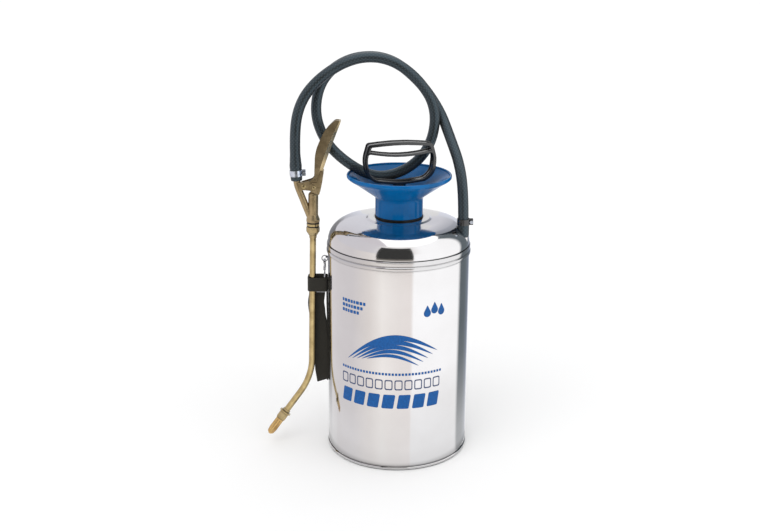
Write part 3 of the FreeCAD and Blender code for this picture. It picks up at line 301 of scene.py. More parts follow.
def plain_rubber(name, color):
    rubber = Surface(name, color, 0.6, Specular_IOR_Level=0.25)
    rubber.tint(rubber.noise(130.0, 4.0), scaled(color, 0.6), scaled(color, 1.5))
    rubber.rough(rubber.noise(300.0, 3.0), 0.45, 0.7)
    rubber.bump(rubber.noise(1600.0, 2.0), 0.00003, 0.4)
    return rubber.material


def printed_ink(name, color):
    """Screen-printed ink: thin, a little uneven, with tiny pinholes."""
    ink = Surface(name, color, 0.35, Specular_IOR_Level=0.2)
    ink.tint(ink.noise(420.0, 4.0), scaled(color, 0.85), scaled(color, 1.15))
    ink.rough(ink.noise(240.0, 3.0), 0.28, 0.42)
    ink.bump(ink.noise(2600.0, 2.0), 0.00001, 0.3)
    return ink.material


# ------------------------------------------------------------------ mesh helpers


def to_object(name, data):
    piece = bpy.data.objects.new(name, data)
    scene.collection.objects.link(piece)
    return piece


def shade_smooth(mesh, sharp_from=None):
    """Smooth faces, with the edges kept sharp that turn by more than that many degrees."""
    mesh.polygons.foreach_set("use_smooth", [True] * len(mesh.polygons))
    if sharp_from:
        mesh.set_sharp_from_angle(angle=math.radians(sharp_from))


def from_lists(name, points, faces):
    mesh = bpy.data.meshes.new(name)
    mesh.from_pydata([tuple(p) for p in points], [], faces)
    mesh.validate()
    shade_smooth(mesh)
    return to_object(name, mesh)


def evaluated_mesh(piece):
    """The mesh that an object makes. The object itself is removed."""
    bpy.context.view_layer.update()
    depsgraph = bpy.context.evaluated_depsgraph_get()
    mesh = bpy.data.meshes.new_from_object(piece.evaluated_get(depsgraph))
    bpy.data.objects.remove(piece)
    return mesh


def cleaned(mesh, nearest):
    """Joins points nearer than that, and turns the faces outward."""
    work = bmesh.new()
    work.from_mesh(mesh)
    bmesh.ops.remove_doubles(work, verts=work.verts, dist=nearest)
    bmesh.ops.recalc_face_normals(work, faces=work.faces)
    work.to_mesh(mesh)
    work.free()


def eased(share):
    """The share held between 0 and 1, with a soft start and a soft end."""
    share = min(1.0, max(0.0, share))
    return share * share * (3 - 2 * share)


def ring_of(radius, parts):
    angles = [2 * math.pi * k / parts for k in range(parts)]
    return [(radius * math.cos(a), radius * math.sin(a)) for a in angles]


def finish_piece(piece, body, material, slot, *hidden):
    """Gives the piece its material and its body, and hides the CAD nodes it stands for."""
    piece.data.materials.clear()
    piece.data.materials.append(material)
    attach(piece, body)
    if hidden:
        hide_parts(*hidden)


def arcs(points, step=12):
    """An outline of (x, y, radius) corners with its arcs sampled every few degrees."""
    line = []
    count = len(points)
    for i, (x, y, radius) in enumerate(points):
        here = Vector((x, y))
        if radius <= 0:
            line.append(here)
            continue
        back = (Vector(points[i - 1][:2]) - here).normalized()
        ahead = (Vector(points[(i + 1) % count][:2]) - here).normalized()
        half = back.angle(ahead) / 2
        reach = radius / math.tan(half)
        centre = here + (back + ahead).normalized() * (radius / math.sin(half))
        start = here + back * reach - centre
        end = here + ahead * reach - centre
        turn = start.angle_signed(end)
        parts = max(2, math.ceil(abs(math.degrees(turn)) / step))
        for k in range(parts + 1):
            line.append(centre + Matrix.Rotation(-turn * k / parts, 2) @ start)
    return line


def mirrored(points):
    """The right half of an outline, with its left half added."""
    return points + [(-x, z, r) for x, z, r in reversed(points) if abs(x) > 1e-9]


def lathe(name, outline, steps):
    """A closed solid turned about +Z from a closed outline of (radius, height, corner radius)."""
    line = arcs(outline)
    count = len(line)
    points, faces = [], []
    for i in range(steps):
        angle = 2 * math.pi * i / steps
        points += [(r * math.sin(angle) * MM, -r * math.cos(angle) * MM, z * MM) for r, z in line]
        here, ahead = i * count, (i + 1) % steps * count
        for k in range(count):
            after = (k + 1) % count
            faces.append((here + k, ahead + k, ahead + after, here + after))
    piece = from_lists(name, points, faces)
    cleaned(piece.data, 1e-7)
    shade_smooth(piece.data, 24)
    return piece


def sweep(name, path, section_at, sideways=None):
    """A closed section carried along a path, with UVs in metres.

    section_at(share, metres) gives the section as (sideways, outward) pairs, and sideways(i)
    the direction that the section's first axis keeps to, or None for the least twist.
    """
    count = len(path)
    tangents = [(path[min(i + 1, count - 1)] - path[max(i - 1, 0)]).normalized()
                for i in range(count)]
    side = tangents[0].orthogonal().normalized()
    points, faces, gone, spans = [], [], 0.0, []
    for i in range(count):
        if i:
            gone += (path[i] - path[i - 1]).length
            turn = tangents[i - 1].rotation_difference(tangents[i])
            side = turn @ side
        if sideways:
            side = Vector(sideways(i))
        side = (side - tangents[i] * side.dot(tangents[i])).normalized()
        out = tangents[i].cross(side)
        section = section_at(i / (count - 1), gone)
        spans.append((gone, section))
        points += [path[i] + side * a + out * b for a, b in section]
    ring = len(spans[0][1])
    around = [0.0]
    for k in range(ring):
        a, b = Vector(spans[count // 2][1][k]), Vector(spans[count // 2][1][(k + 1) % ring])
        around.append(around[-1] + (a - b).length)
    uvs = []
    for i in range(count - 1):
        for k in range(ring):
            after = (k + 1) % ring
            faces.append((i * ring + k, i * ring + after, (i + 1) * ring + after,
                          (i + 1) * ring + k))
            near, far = spans[i][0], spans[i + 1][0]
            uvs += [(near, around[k]), (near, around[k + 1]), (far, around[k + 1]),
                    (far, around[k])]
    for end, order in ((0, -1), (count - 1, 1)):
        faces.append(tuple(end * ring + k for k in range(ring))[::order])
        uvs += [(0.0, 0.0)] * ring
    mesh = bpy.data.meshes.new(name)
    mesh.from_pydata([tuple(p) for p in points], [], faces)
    layer = mesh.uv_layers.new(name="UVMap")
    for loop, uv in zip(layer.data, uvs):
        loop.uv = uv
    shade_smooth(mesh, 50)
    return to_object(name, mesh)


def along(points, gap):
    """Even points along the smooth curve that the control points pull, and its length."""
    data = bpy.data.curves.new("route", "CURVE")
    data.dimensions = "3D"
    data.resolution_u = 24
    spline = data.splines.new("NURBS")
    spline.points.add(len(points) - 1)
    for target, point in zip(spline.points, points):
        target.co = (*point, 1)
    spline.order_u = 3
    spline.use_endpoint_u = True
    line = [vertex.co.copy() for vertex in evaluated_mesh(to_object("route", data)).vertices]
    total = sum((b - a).length for a, b in zip(line, line[1:]))
    count = max(2, round(total / gap))
    even, walked, target = [line[0]], 0.0, total / count
    for a, b in zip(line, line[1:]):
        step = (b - a).length
        while step > 0 and walked + step >= target - 1e-9 and len(even) < count:
            even.append(a.lerp(b, (target - walked) / step))
            target += total / count
        walked += step
    even.append(line[-1])
    return even, total


def extruded(name, outlines, depth, round_by):
    """A flat plate in the XZ plane, centred on Y = 0, from closed outlines (holes included)."""
    data = bpy.data.curves.new(name, "CURVE")
    data.dimensions = "2D"
    data.fill_mode = "BOTH"
    data.extrude = depth / 2 - round_by
    data.bevel_depth = round_by
    data.bevel_resolution = 3
    data.offset = -round_by
    for outline in outlines:
        spline = data.splines.new("POLY")
        spline.points.add(len(outline) - 1)
        for target, (x, z) in zip(spline.points, outline):
            target.co = (x, z, 0, 1)
        spline.use_cyclic_u = True
    mesh = evaluated_mesh(to_object(name + "_outline", data))
    mesh.transform(Matrix.Rotation(math.pi / 2, 4, "X"))
    cleaned(mesh, 2e-6)
    shade_smooth(mesh, 35)
    return to_object(name, mesh)


def merge(name, pieces):
    """One object out of several, in the row frame."""
    whole = bmesh.new()
    for piece in pieces:
        part = piece.data.copy()
        part.transform(piece.matrix_world)
        whole.from_mesh(part)
        bpy.data.objects.remove(piece)
    mesh = bpy.data.meshes.new(name)
    whole.to_mesh(mesh)
    whole.free()
    shade_smooth(mesh, 35)
    return to_object(name, mesh)


# ------------------------------------------------------------------ hose

# The route's points are those of the CAD tube.
HOSE_ROUTE = [
    (0.0896, -0.023, 0.3185), (0.0896, -0.023, 0.366), (0.085, -0.004, 0.413),
    (0.070, 0.030, 0.450), (0.056, 0.055, 0.483), (0.027, 0.054, 0.524),
    (-0.016, 0.053, 0.558), (-0.068, 0.047, 0.559), (-0.109, 0.038, 0.532),
    (-0.121, 0.028, 0.484), (-0.105, 0.0235, 0.4395), (-0.070, 0.0125, 0.410),
    (-0.030, 0.021, 0.389), (0.016, 0.031, 0.402), (0.046, 0.037, 0.4375),
    (0.051, 0.038, 0.489), (0.025, 0.036, 0.530), (-0.016, 0.034, 0.559),
    (-0.064, 0.029, 0.560), (-0.111, 0.017, 0.534), (-0.141, 0.009, 0.496),
    (-0.147, 0.005, 0.441), (-0.1437, 0.005, 0.3892),
]
HOSE_RADIUS = 7.35 * MM
# both ends are spread by their barbs, and taper to the hose's own radius
SWELL_RADIUS = 8.1 * MM
SWELL_END = 27 * MM
SWELL_TAPER = 7 * MM
# the valve's barb spreads the hose once more above its clamp, at this distance from the end
BULGE_AT = 25 * MM
BULGE_HALF = 14 * MM
BULGE = 0.7 * MM
# the cut ends are slightly rounded
CUT_ROUND = 0.6 * MM
CUT_RUN = 0.8 * MM


def make_hose(cover):
    path, length = along(HOSE_ROUTE, gap=2.2 * MM)

    def section(share, gone):
        from_end = min(gone, length - gone)
        radius = HOSE_RADIUS + (SWELL_RADIUS - HOSE_RADIUS) * eased(
            (SWELL_END - from_end) / SWELL_TAPER)
        radius += BULGE * eased(1 - abs(length - gone - BULGE_AT) / BULGE_HALF)
        radius -= CUT_ROUND * max(0.0, 1 - from_end / CUT_RUN)
        return ring_of(radius, 28)

    hose = sweep("hose_tube", path, section)
    shade_smooth(hose.data, 80)
    finish_piece(hose, "tank", cover, "hose_rubber", "hose")
    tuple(HOSE_ROUTE[0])


# ------------------------------------------------------------------ tank

SHELL_R = 100.0
SEAM_Z = 304.1
MOUTH_Z = 341.0
TANK_STEPS = 288


def make_tank(steel, band_steel):
    """The wall and the domed top as thin sheet, and the band with its bead round the seam."""
    shell = lathe("tank_wall", [
        (98.3, 1.25, 0), (99.15, 1.25, 0.2), (99.15, 6.7, 0.2), (SHELL_R, 7.1, 0.3),
        (SHELL_R, SEAM_Z - 0.55, 0.1), (99.1, SEAM_Z - 0.55, 0.1), (99.1, 8, 0), (98.3, 7.6, 0),
    ], TANK_STEPS)
    finish_piece(shell, "tank", steel, "steel", "tank_shell")
    dome = lathe("tank_top", [
        (30, MOUTH_Z, 0.4), (43.6, 340.2, 1.6), (46, 338.3, 1.2), (67, 336.3, 130),
        (SHELL_R, 329.3, 29), (SHELL_R, SEAM_Z + 0.7, 0.25), (99.05, SEAM_Z + 0.7, 0),
        (99.05, 291, 0), (98.2, 291, 0), (98.2, 328.2, 27.2), (66, 335.1, 128),
        (46, 337.1, 1.2), (43.6, 339.0, 1.6), (30, 339.9, 0),
    ], TANK_STEPS)
    finish_piece(dome, "tank", steel, "steel", "tank_dome")
    band = lathe("tank_band", [
        (SHELL_R + 0.02, 291, 0), (101.0, 291, 0.9), (101.8, 291.9, 1.2), (101.8, 295.0, 1.3),
        (100.3, 296.5, 0.2), (100.3, 297.4, 0.2), (101.3, 297.9, 0.4), (101.3, 302.9, 0.5),
        (100.7, 303.5, 0.3), (SHELL_R + 0.02, 303.5, 0),
    ], TANK_STEPS)
    finish_piece(band, "tank", band_steel, "steel", "seam_band")


# ------------------------------------------------------------------ funnel


def make_funnel(blue):
    """The funnel with its neck: up the outside, over the rim and down the inside."""
    funnel = lathe("funnel_shell", [
        (29.95, 343.12, 0.2), (33.5, 343.12, 0.5), (33.5, 369.4, 8), (64, 391, 20),
        (70, 394.6, 8), (73.5, 397.5, 2.5), (73.5, 400.4, 1.2), (72.7, 401.6, 0.9),
        (70.9, 401.6, 0.8), (70.3, 400.8, 0.8), (70.3, 398.8, 1.5), (62.2, 393.8, 10),
        (32.6, 373.35, 0.5), (31.8, 372.5, 0.2), (31.8, 368, 0),
        (28.62, 368, 0), (28.62, 357.4, 0), (29.95, 357.4, 0),
    ], steps=224)
    finish_piece(funnel, "tank", blue, "blue_plastic", "funnel")


# ------------------------------------------------------------------ handle

GRIP_TURN = math.radians(13)
GRIP_DEPTH = 18.0
RIM_DEPTH = 2.6
WEB_DEPTH = 16.8
WEB_INSET = 0.9
GRIP_ROUND = 0.55 * MM


def grip_line(inset, opening):
    """One closed line of the handle seen from the front, moved into its plastic by the inset."""
    if opening == "outside":
        right = [(0, 449.7 - inset, 300), (45.6 - inset, 445.2 - inset, 5),
                 (51.5 - inset, 424, 40), (49 - inset, 403.5, 20),
                 (37.2 - inset * 0.6, 391.6 + inset * 0.8, 22), (0, 387.6 + inset, 120)]
    elif opening == "upper":
        right = [(0, 444.8 + inset, 300), (41 + inset, 441.4 + inset, 2.4),
                 (42.8 + inset, 435.3 - inset, 1.2), (0, 426.8 - inset, 190)]
    else:
        right = [(0, 424.8 + inset, 190), (44.8 + inset, 432.2 + inset, 2.5),
                 (46.5 + inset, 424, 30), (44.3 + inset, 405.2, 18),
                 (35.6 + inset * 0.6, 395.2 - inset * 0.8, 19), (0, 391.2 - inset, 120)]
    return [(x * MM, z * MM) for x, z in arcs(mirrored(right), 4)]


def make_handle(black):
    """A thin web between a front rim and a back rim, on a boss round the rod."""
    def plate(name, inset, depth, middle):
        outlines = [grip_line(inset, opening) for opening in ("outside", "upper", "lower")]
        piece = extruded(name, outlines, depth * MM, GRIP_ROUND)
        piece.data.transform(Matrix.Translation((0, middle * MM, 0)))
        return piece

    reach = (GRIP_DEPTH - RIM_DEPTH) / 2
    plates = [plate("grip_web", WEB_INSET, WEB_DEPTH, 0),
              plate("grip_front", 0, RIM_DEPTH, -reach), plate("grip_back", 0, RIM_DEPTH, reach)]
    boss = lathe("grip_boss", [
        (4.02, 378.5, 0), (8.2, 378.5, 0.8), (9, 386, 1), (9, 389.5, 0), (4.02, 389.5, 0),
    ], steps=48)
    grip = merge("grip", plates + [boss])
    grip.data.transform(Matrix.Rotation(GRIP_TURN, 4, "Z"))
    finish_piece(grip, "plunger", black, "black_plastic", "pump_handle")


# ------------------------------------------------------------------ valve spring

VALVE_FOOT = Vector((-0.1212, 0.005, 0.3304))
VALVE_LEAN = math.radians(0.95)
SPRING_LOW = 11.6 * MM
SPRING_HIGH = 30.2 * MM
SPRING_TURNS = 7
COIL_RADIUS = 3.4 * MM
WIRE_RADIUS = 0.45 * MM


def make_spring(metal):
    """The coil under the valve's packing, made at one length, though the real one shortens as the
    stem rises.
    """
    lean = Matrix.Rotation(VALVE_LEAN, 3, "Y")
    steps = 28 * SPRING_TURNS
    path = []
    for i in range(steps + 1):
        angle = 2 * math.pi * SPRING_TURNS * i / steps
        height = SPRING_LOW + (SPRING_HIGH - SPRING_LOW) * i / steps
        point = Vector((COIL_RADIUS * math.cos(angle), COIL_RADIUS * math.sin(angle), height))
        path.append(VALVE_FOOT + lean @ point)
    wire = ring_of(WIRE_RADIUS, 10)
    spring = sweep("valve_spring", path, lambda share, gone: wire)
    finish_piece(spring, "tank", metal, "dull_steel", "stem_spring")
    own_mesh(spring)


# ------------------------------------------------------------------ strap

STRAP_THICK = 1.55 * MM
# one turn of webbing goes round the wand and the folded strap
WRAP_LEFT, WRAP_RIGHT = -129.0, -101.6
WRAP_FRONT, WRAP_BACK = -0.7, 19.4
WRAP_CORNER = 4
WRAP_MIDDLE = 237.5
WRAP_WIDTH = 20.6 * MM
# the folded strap's edges, as (height, x) from the top down
FOLDS_LEFT = [(250, -127.4), (222, -128.4), (206, -130.2), (184, -128.2), (150, -125.2),
              (112, -121.2), (82, -118.0)]
FOLDS_RIGHT = [(250, -104.6), (222, -105.6), (206, -107.2), (190, -105.6), (172, -103.2),
               (150, -101.4), (112, -100.7), (82, -100.8)]
# its layers, as (y, lowest, highest)
FOLD_LAYERS = [(10.9, 88.5, 246), (12.9, 84, 247), (15.0, 82.5, 247), (17.2, 86.5, 246)]
FOLD_TURN = 0.9
FOLD_ROWS = 40
FOLD_RIPPLE = 0.28
# below SKEW_TOP the folds lie askew, higher on the right of SKEW_X and lower on its left
SKEW_TOP = 108
SKEW_RUN = 20
SKEW_X = -118
SKEW = 0.3
# the free run stands on its edge between the folded strap and the tank
FREE_X, FREE_Y = -102.3, 14
FREE_TOP = 226
FREE_STEP = 3.4
FREE_COUNT = 42
FREE_RIPPLE = 0.35
FREE_WIDTH = 7.4 * MM
FREE_THICK = 2.2 * MM


def webbing_section(width, thick):
    """A flat band's section, with rounded edges."""
    edge = thick / 2
    right = [(width / 2 - edge + edge * math.sin(a), edge * math.cos(a))
             for a in (math.radians(x) for x in (0, 30, 60, 90, 120, 150, 180))]
    flats = [width * share for share in (0.36, 0.2, 0.0, -0.2, -0.36)]
    left = [(-x, -y) for x, y in right]
    return right + [(x, -edge) for x in flats] + left + [(-x, edge) for x in flats]


def make_wrap(cloth):
    """The turn of webbing that holds the wand to the folded strap."""
    corners = [(WRAP_LEFT, WRAP_FRONT, WRAP_CORNER), (WRAP_RIGHT, WRAP_FRONT, WRAP_CORNER),
               (WRAP_RIGHT, WRAP_BACK, WRAP_CORNER), (WRAP_LEFT, WRAP_BACK, WRAP_CORNER)]
    line = [Vector((x * MM, y * MM, WRAP_MIDDLE * MM)) for x, y in arcs(corners, 10)]
    dense = []
    for a, b in zip(line, line[1:] + line[:1]):
        parts = max(1, round((b - a).length / (2 * MM)))
        dense += [a.lerp(b, k / parts) for k in range(parts)]
    dense.append(line[0].copy())
    wide = webbing_section(WRAP_WIDTH, STRAP_THICK)
    wrap = sweep("strap_turn", dense, lambda share, gone: wide, lambda i: (0, 0, 1))
    finish_piece(wrap, "tank", cloth, "webbing", "strap_wrap")


def edge_at(table, z):
    """The x of an edge at a height, eased between the table's rows."""
    for (high, a), (low, b) in zip(table, table[1:]):
        if z >= low:
            return a + (b - a) * eased((high - z) / (high - low))
    return table[-1][1]


def fold_path():
    """The middle line of the folded strap in its layers' plane, down and up by turns."""
    path = []
    for k, (y, low, high) in enumerate(FOLD_LAYERS):
        down = k % 2 == 0
        rows = [low + (high - low) * i / FOLD_ROWS for i in range(FOLD_ROWS + 1)]
        if down:
            rows.reverse()
        for z in rows:
            ripple = FOLD_RIPPLE * math.sin(z * 0.11 + k * 1.3)
            path.append(Vector((0, (y + ripple) * MM, z * MM)))
        if k + 1 < len(FOLD_LAYERS):
            next_y, next_low = FOLD_LAYERS[k + 1][:2]
            turn_z = (low + next_low) / 2 - FOLD_TURN if down else high + FOLD_TURN
            path.append(Vector((0, (y + next_y) / 2 * MM, turn_z * MM)))
    return path


def make_bundle(cloth):
    """One long strap, folded to and fro, that hangs behind the wand."""
    path, widths = fold_path(), []
    for point in path:
        left, right = (edge_at(table, point.z / MM) for table in (FOLDS_LEFT, FOLDS_RIGHT))
        point.x = (left + right) / 2 * MM
        widths.append((right - left) * MM)

    def section(share, gone):
        return webbing_section(widths[round(share * (len(path) - 1))], STRAP_THICK)

    bundle = sweep("strap_folds", path, section, lambda i: (1, 0, 0))
    for vertex in bundle.data.vertices:
        near_end = min(1.0, max(0.0, (SKEW_TOP - vertex.co.z / MM) / SKEW_RUN))
        vertex.co.z += SKEW * near_end * (vertex.co.x - SKEW_X * MM)
    finish_piece(bundle, "tank", cloth, "webbing", "strap_bundle")


def make_free_run(cloth):
    """The part of the strap that runs down beside its folds."""
    path = []
    for z in (FREE_TOP - FREE_STEP * i for i in range(FREE_COUNT)):
        x = FREE_X + FREE_RIPPLE * math.sin(z * 0.05)
        path.append(Vector((x * MM, FREE_Y * MM, z * MM)))
    band = webbing_section(FREE_WIDTH, FREE_THICK)
    run = sweep("strap_free_run", path, lambda share, gone: band, lambda i: (0, 1, 0))
    finish_piece(run, "tank", cloth, "webbing")


# ------------------------------------------------------------------ label

LABEL_LEFT = -75.0
LABEL_TURN = math.radians(-6.0)
INK_THICK = 0.12
INK_GAP = 0.01
# a printed face is cut until it spans no more than this round the wall
INK_SPAN = 4


def on_tank(name, outlines, material):
    """Printed shapes on the tank's wall. Outlines are along the wall and up it."""
    flat = bmesh.new()
    for outline in outlines:
        corners = [flat.verts.new((x, z, 0)) for x, z in outline]
        flat.faces.new(corners)
    bmesh.ops.triangulate(flat, faces=flat.faces)
    for _ in range(4):
        long = [e for e in flat.edges if abs(e.verts[0].co.x - e.verts[1].co.x) > INK_SPAN]
        if not long:
            break
        bmesh.ops.subdivide_edges(flat, edges=long, cuts=1)
        bmesh.ops.triangulate(flat, faces=flat.faces)
    top = bmesh.ops.extrude_face_region(flat, geom=flat.faces[:])["geom"]
    for vertex in (g for g in top if isinstance(g, bmesh.types.BMVert)):
        vertex.co.z = INK_THICK
    for vertex in flat.verts:
        angle = vertex.co.x / SHELL_R + LABEL_TURN
        radius = SHELL_R + INK_GAP + vertex.co.z
        height = vertex.co.y
        vertex.co = (radius * math.sin(angle) * MM, -radius * math.cos(angle) * MM, height * MM)
    bmesh.ops.recalc_face_normals(flat, faces=flat.faces)
    mesh = bpy.data.meshes.new(name)
    flat.to_mesh(mesh)
    flat.free()
    shade_smooth(mesh, 40)
    finish_piece(to_object(name, mesh), "tank", material, "blue_plastic")


def bar(x, z, width, height, lean=0.0, radius=0.8):
    """A leaning bar with rounded corners, from its lower left corner."""
    slip = height * math.tan(math.radians(lean))
    corners = [(x, z, radius), (x + width, z, radius), (x + width + slip, z + height, radius),
               (x + slip, z + height, radius)]
    return [tuple(p) for p in arcs(corners, 30)]


def drop(x, z, size, parts=28):
    """A falling drop, point up."""
    line = []
    for k in range(parts):
        a = 2 * math.pi * k / parts
        pull = max(0.0, math.cos(a)) ** 3
        line.append((x + size * math.sin(a) * (1 - 0.55 * pull),
                     z + size * math.cos(a) + size * 1.1 * pull))
    return line


def hollow(outline, wide):
    """The rim of an outline, as a row of small four-sided pieces."""
    middle = [sum(p[0] for p in outline) / len(outline), sum(p[1] for p in outline) / len(outline)]
    inner = []
    for x, z in outline:
        away = math.hypot(x - middle[0], z - middle[1])
        share = (away - wide) / away
        inner.append((middle[0] + (x - middle[0]) * share, middle[1] + (z - middle[1]) * share))
    count = len(outline)
    return [[outline[i], outline[(i + 1) % count], inner[(i + 1) % count], inner[i]]
            for i in range(count)]


def spray_arc(start, end, rise, wide, parts=30):
    """An arc as a row of four-sided pieces, tapering from its middle to both ends."""
    upper, lower = [], []
    for k in range(parts + 1):
        share = k / parts
        x = start[0] + (end[0] - start[0]) * share
        z = start[1] + (end[1] - start[1]) * share + rise * math.sin(math.pi * share)
        half = wide / 2 * math.sin(math.pi * min(1, share * 1.0001)) ** 0.8 + 0.15
        upper.append((x, z + half))
        lower.append((x, z - half))
    return [[lower[k], lower[k + 1], upper[k + 1], upper[k]] for k in range(parts)]


def make_label(blue_ink, grey_ink):
    """Plain generic shapes in the places where such a sprayer is printed."""
    # three short rows of bars at the top left
    rows = []
    for row, (length, z) in enumerate(((44, 238.4), (40, 231.2), (34, 224.0))):
        x = LABEL_LEFT
        k = 0
        while x < LABEL_LEFT + length - 3:
            width = 3.1 + 1.6 * ((k * 7 + row * 3) % 4) / 3
            rows.append(bar(x, z, width, 4.4))
            x += width + 1.3
            k += 1
    on_tank("label_rows", rows, blue_ink)
    # three drops at the top right
    drops = [drop(52 + 11 * k, 229.5 + 3.6 * (k % 2), 5.3) for k in range(3)]
    on_tank("label_drops", drops, blue_ink)
    # the spray motif in the middle
    fan = []
    for k in range(5):
        fan += spray_arc((-64 + 8 * k, 157 + 1.6 * k), (68 - 7 * k, 174 - 4.6 * k),
                         31 - 5 * k, 7.6 - 0.8 * k)
    on_tank("label_spray", fan, blue_ink)
    # the fine row, the outlined row and the solid row under it
    fine = [bar(LABEL_LEFT + 4.6 * k, 141.7, 3.1, 3.4, radius=0.5) for k in range(33)]
    on_tank("label_fine", fine, blue_ink)
    outlined = []
    for k in range(11):
        outlined += hollow(bar(LABEL_LEFT + 13.7 * k, 120.4, 11, 14.7, radius=2.4), 1.8)
    on_tank("label_outlined", outlined, grey_ink)
    solid = [bar(LABEL_LEFT + 21.3 * k, 93, 16.5, 20.4, lean=9, radius=1.8) for k in range(7)]
    on_tank("label_solid", solid, blue_ink)


# ------------------------------------------------------------------ the rest of the frame


def paint(material, *names):
    """Gives CAD nodes a material."""
    for name in names:
        slots = nodes[name].material_slots
        if not slots:
            nodes[name].data.materials.append(material)
        for slot in slots:
            slot.material = material


# ------------------------------------------------------------------ stage

FLOOR_HALF = 30.0
# key and fill suns: heading in the plane, height and power
SUNS = [("key", (-0.5, -0.75), 1.0, 0.62), ("fill", (0.9, -0.5), 0.6, 0.28)]
SUN_SPREAD = math.radians(50)
TENT_R = 0.6
TENT_HIGH = 1.1
TENT_STEPS = 360
TENT_LOW = 0.001
# the painted reflection of the dark gap in front: its angles, and its sheets as (name, lowest,
# highest, brightness)
GAP_FROM, GAP_TO = -32, 22
GAP_R = TENT_R - 0.02
GAP_SHEETS = [("tent_gap", 0.25, 0.88, (0.05, 0.05, 0.048)),
              ("tent_sill", 0.184, 0.25, (0.28, 0.26, 0.23))]
# the ceiling's darker and brighter parts meet at this x
CEILING_SPLIT = -0.24
CEILING_SHEETS = [("ceiling_left", -TENT_R, CEILING_SPLIT, (0.88, 0.84, 0.88)),
                  ("ceiling_right", CEILING_SPLIT, TENT_R, (1.7, 1.7, 1.7))]
# the painted reflection of what stands round the object, as seen in its side: degrees from the
# front, and brightness
TENT_RING = [
    (-180, (0.86, 0.88, 0.97)), (-168, (0.30, 0.30, 0.31)), (-146, (0.22, 0.22, 0.24)),
    (-138, (0.90, 0.86, 0.87)), (-78, (0.90, 0.86, 0.87)), (-46, (1.06, 1.00, 0.96)),
    (-25, (1.25, 1.20, 1.15)), (0, (1.17, 1.11, 1.07)), (21, (1.15, 1.08, 1.04)),
    (25, (1.42, 1.42, 1.42)), (113, (1.40, 1.40, 1.40)), (121, (0.16, 0.19, 0.21)),
    (138, (0.17, 0.20, 0.22)), (156, (0.25, 0.29, 0.36)), (170, (0.80, 0.83, 0.92)),
    (180, (0.86, 0.88, 0.97)),
]
# the same above the height TENT_SPLIT
TENT_UPPER = [
    (-180, (0.86, 0.86, 0.92)), (-120, (0.86, 0.84, 0.89)), (-46, (0.90, 0.87, 0.90)),
    (-25, (1.1, 1.08, 1.06)), (21, (1.15, 1.12, 1.10)), (40, (1.4, 1.4, 1.4)),
    (113, (1.4, 1.4, 1.4)), (121, (0.16, 0.19, 0.21)), (138, (0.18, 0.21, 0.23)),
    (150, (0.32, 0.34, 0.38)), (170, (0.48, 0.50, 0.56)), (180, (0.86, 0.86, 0.92)),
]
TENT_SPLIT = 0.45


def glowing(name, color):
    """A material that gives off its colour, with its node tree and its glow node."""
    material = bpy.data.materials.new(name)
    material.use_nodes = True
    tree = material.node_tree
    tree.nodes.remove(tree.nodes["Principled BSDF"])
    glow = tree.nodes.new("ShaderNodeEmission")
    glow.inputs["Color"].default_value = (*color, 1)
    glow.inputs["Strength"].default_value = 1.0
    tree.links.new(glow.outputs["Emission"], tree.nodes["Material Output"].inputs["Surface"])
    return material, tree, glow


def only_reflected(piece):
    """A stage piece that is seen in shiny surfaces, and nowhere else."""
    piece.visible_camera = False
    piece.visible_diffuse = False
    piece.visible_shadow = False
    piece.visible_transmission = False


def upright_sheet(name, radius, low, high, start, end, parts):
    """A curved wall round the object between two angles in degrees from the front."""
    points, faces = [], []
    for i in range(parts + 1):
        angle = math.radians(start + (end - start) * i / parts)
        x, y = radius * math.sin(angle), -radius * math.cos(angle)
        points += [(x, y, low), (x, y, high)]
    for i in range(parts):
        faces.append((2 * i, 2 * i + 2, 2 * i + 3, 2 * i + 1))
    return from_lists(name, points, faces)


def placed_angle(seen, radius):
    """Where round the tent a ray ends that leaves the tank's side at that angle."""
    half = math.radians(seen) / 2
    return seen - math.degrees(math.asin(math.sin(half) * SHELL_R * MM / radius))


def ring_color(ring, seen):
    """The colour of a ring at an angle, in between its two nearest rows."""
    for (low, dark), (high, light) in zip(ring, ring[1:]):
        if low <= seen <= high:
            return Vector(dark).lerp(Vector(light), (seen - low) / (high - low))
    raise ValueError(seen)


def painted(name, points, faces, colors):
    """A glowing sheet with a colour at each point, seen only in reflections."""
    sheet = from_lists(name, points, faces)
    layer = sheet.data.color_attributes.new(name="glow", type="FLOAT_COLOR", domain="POINT")
    for value, color in zip(layer.data, colors):
        value.color = (*color, 1)
    material, tree, glow = glowing(name, (1, 1, 1))
    attribute = tree.nodes.new("ShaderNodeAttribute")
    attribute.attribute_name = "glow"
    tree.links.new(attribute.outputs["Color"], glow.inputs["Color"])
    sheet.data.materials.append(material)
    only_reflected(sheet)


def tent_grid(name, rows):
    """A sheet right round the object. rows are (radius, height, colour of a seen angle)."""
    points, colors, faces = [], [], []
    for radius, height, color_at in rows:
        for i in range(TENT_STEPS + 1):
            seen = -180 + 360 * i / TENT_STEPS
            angle = math.radians(placed_angle(seen, radius))
            points.append((radius * math.sin(angle), -radius * math.cos(angle), height))
            colors.append(color_at(seen))
    around = TENT_STEPS + 1
    for row in range(len(rows) - 1):
        for i in range(TENT_STEPS):
            here = row * around + i
            faces.append((here, here + 1, here + around + 1, here + around))
    painted(name, points, faces, colors)


def near_floor(share, shade):
    """The glow that stands for the floor in reflections, from the tent's own colour (share 0) to
    the nearly white paper (share 1), times the shade.
    """
    brightest = 1.42 - 0.3 * min(1.0, 1.5 * share)

    def color_at(seen):
        pull = share * (0.85 if seen < -120 else 0.5)
        color = ring_color(TENT_RING, seen).lerp(Vector((1, 1, 1)), pull)
        return Vector([min(brightest, part) for part in color]) * shade

    return color_at


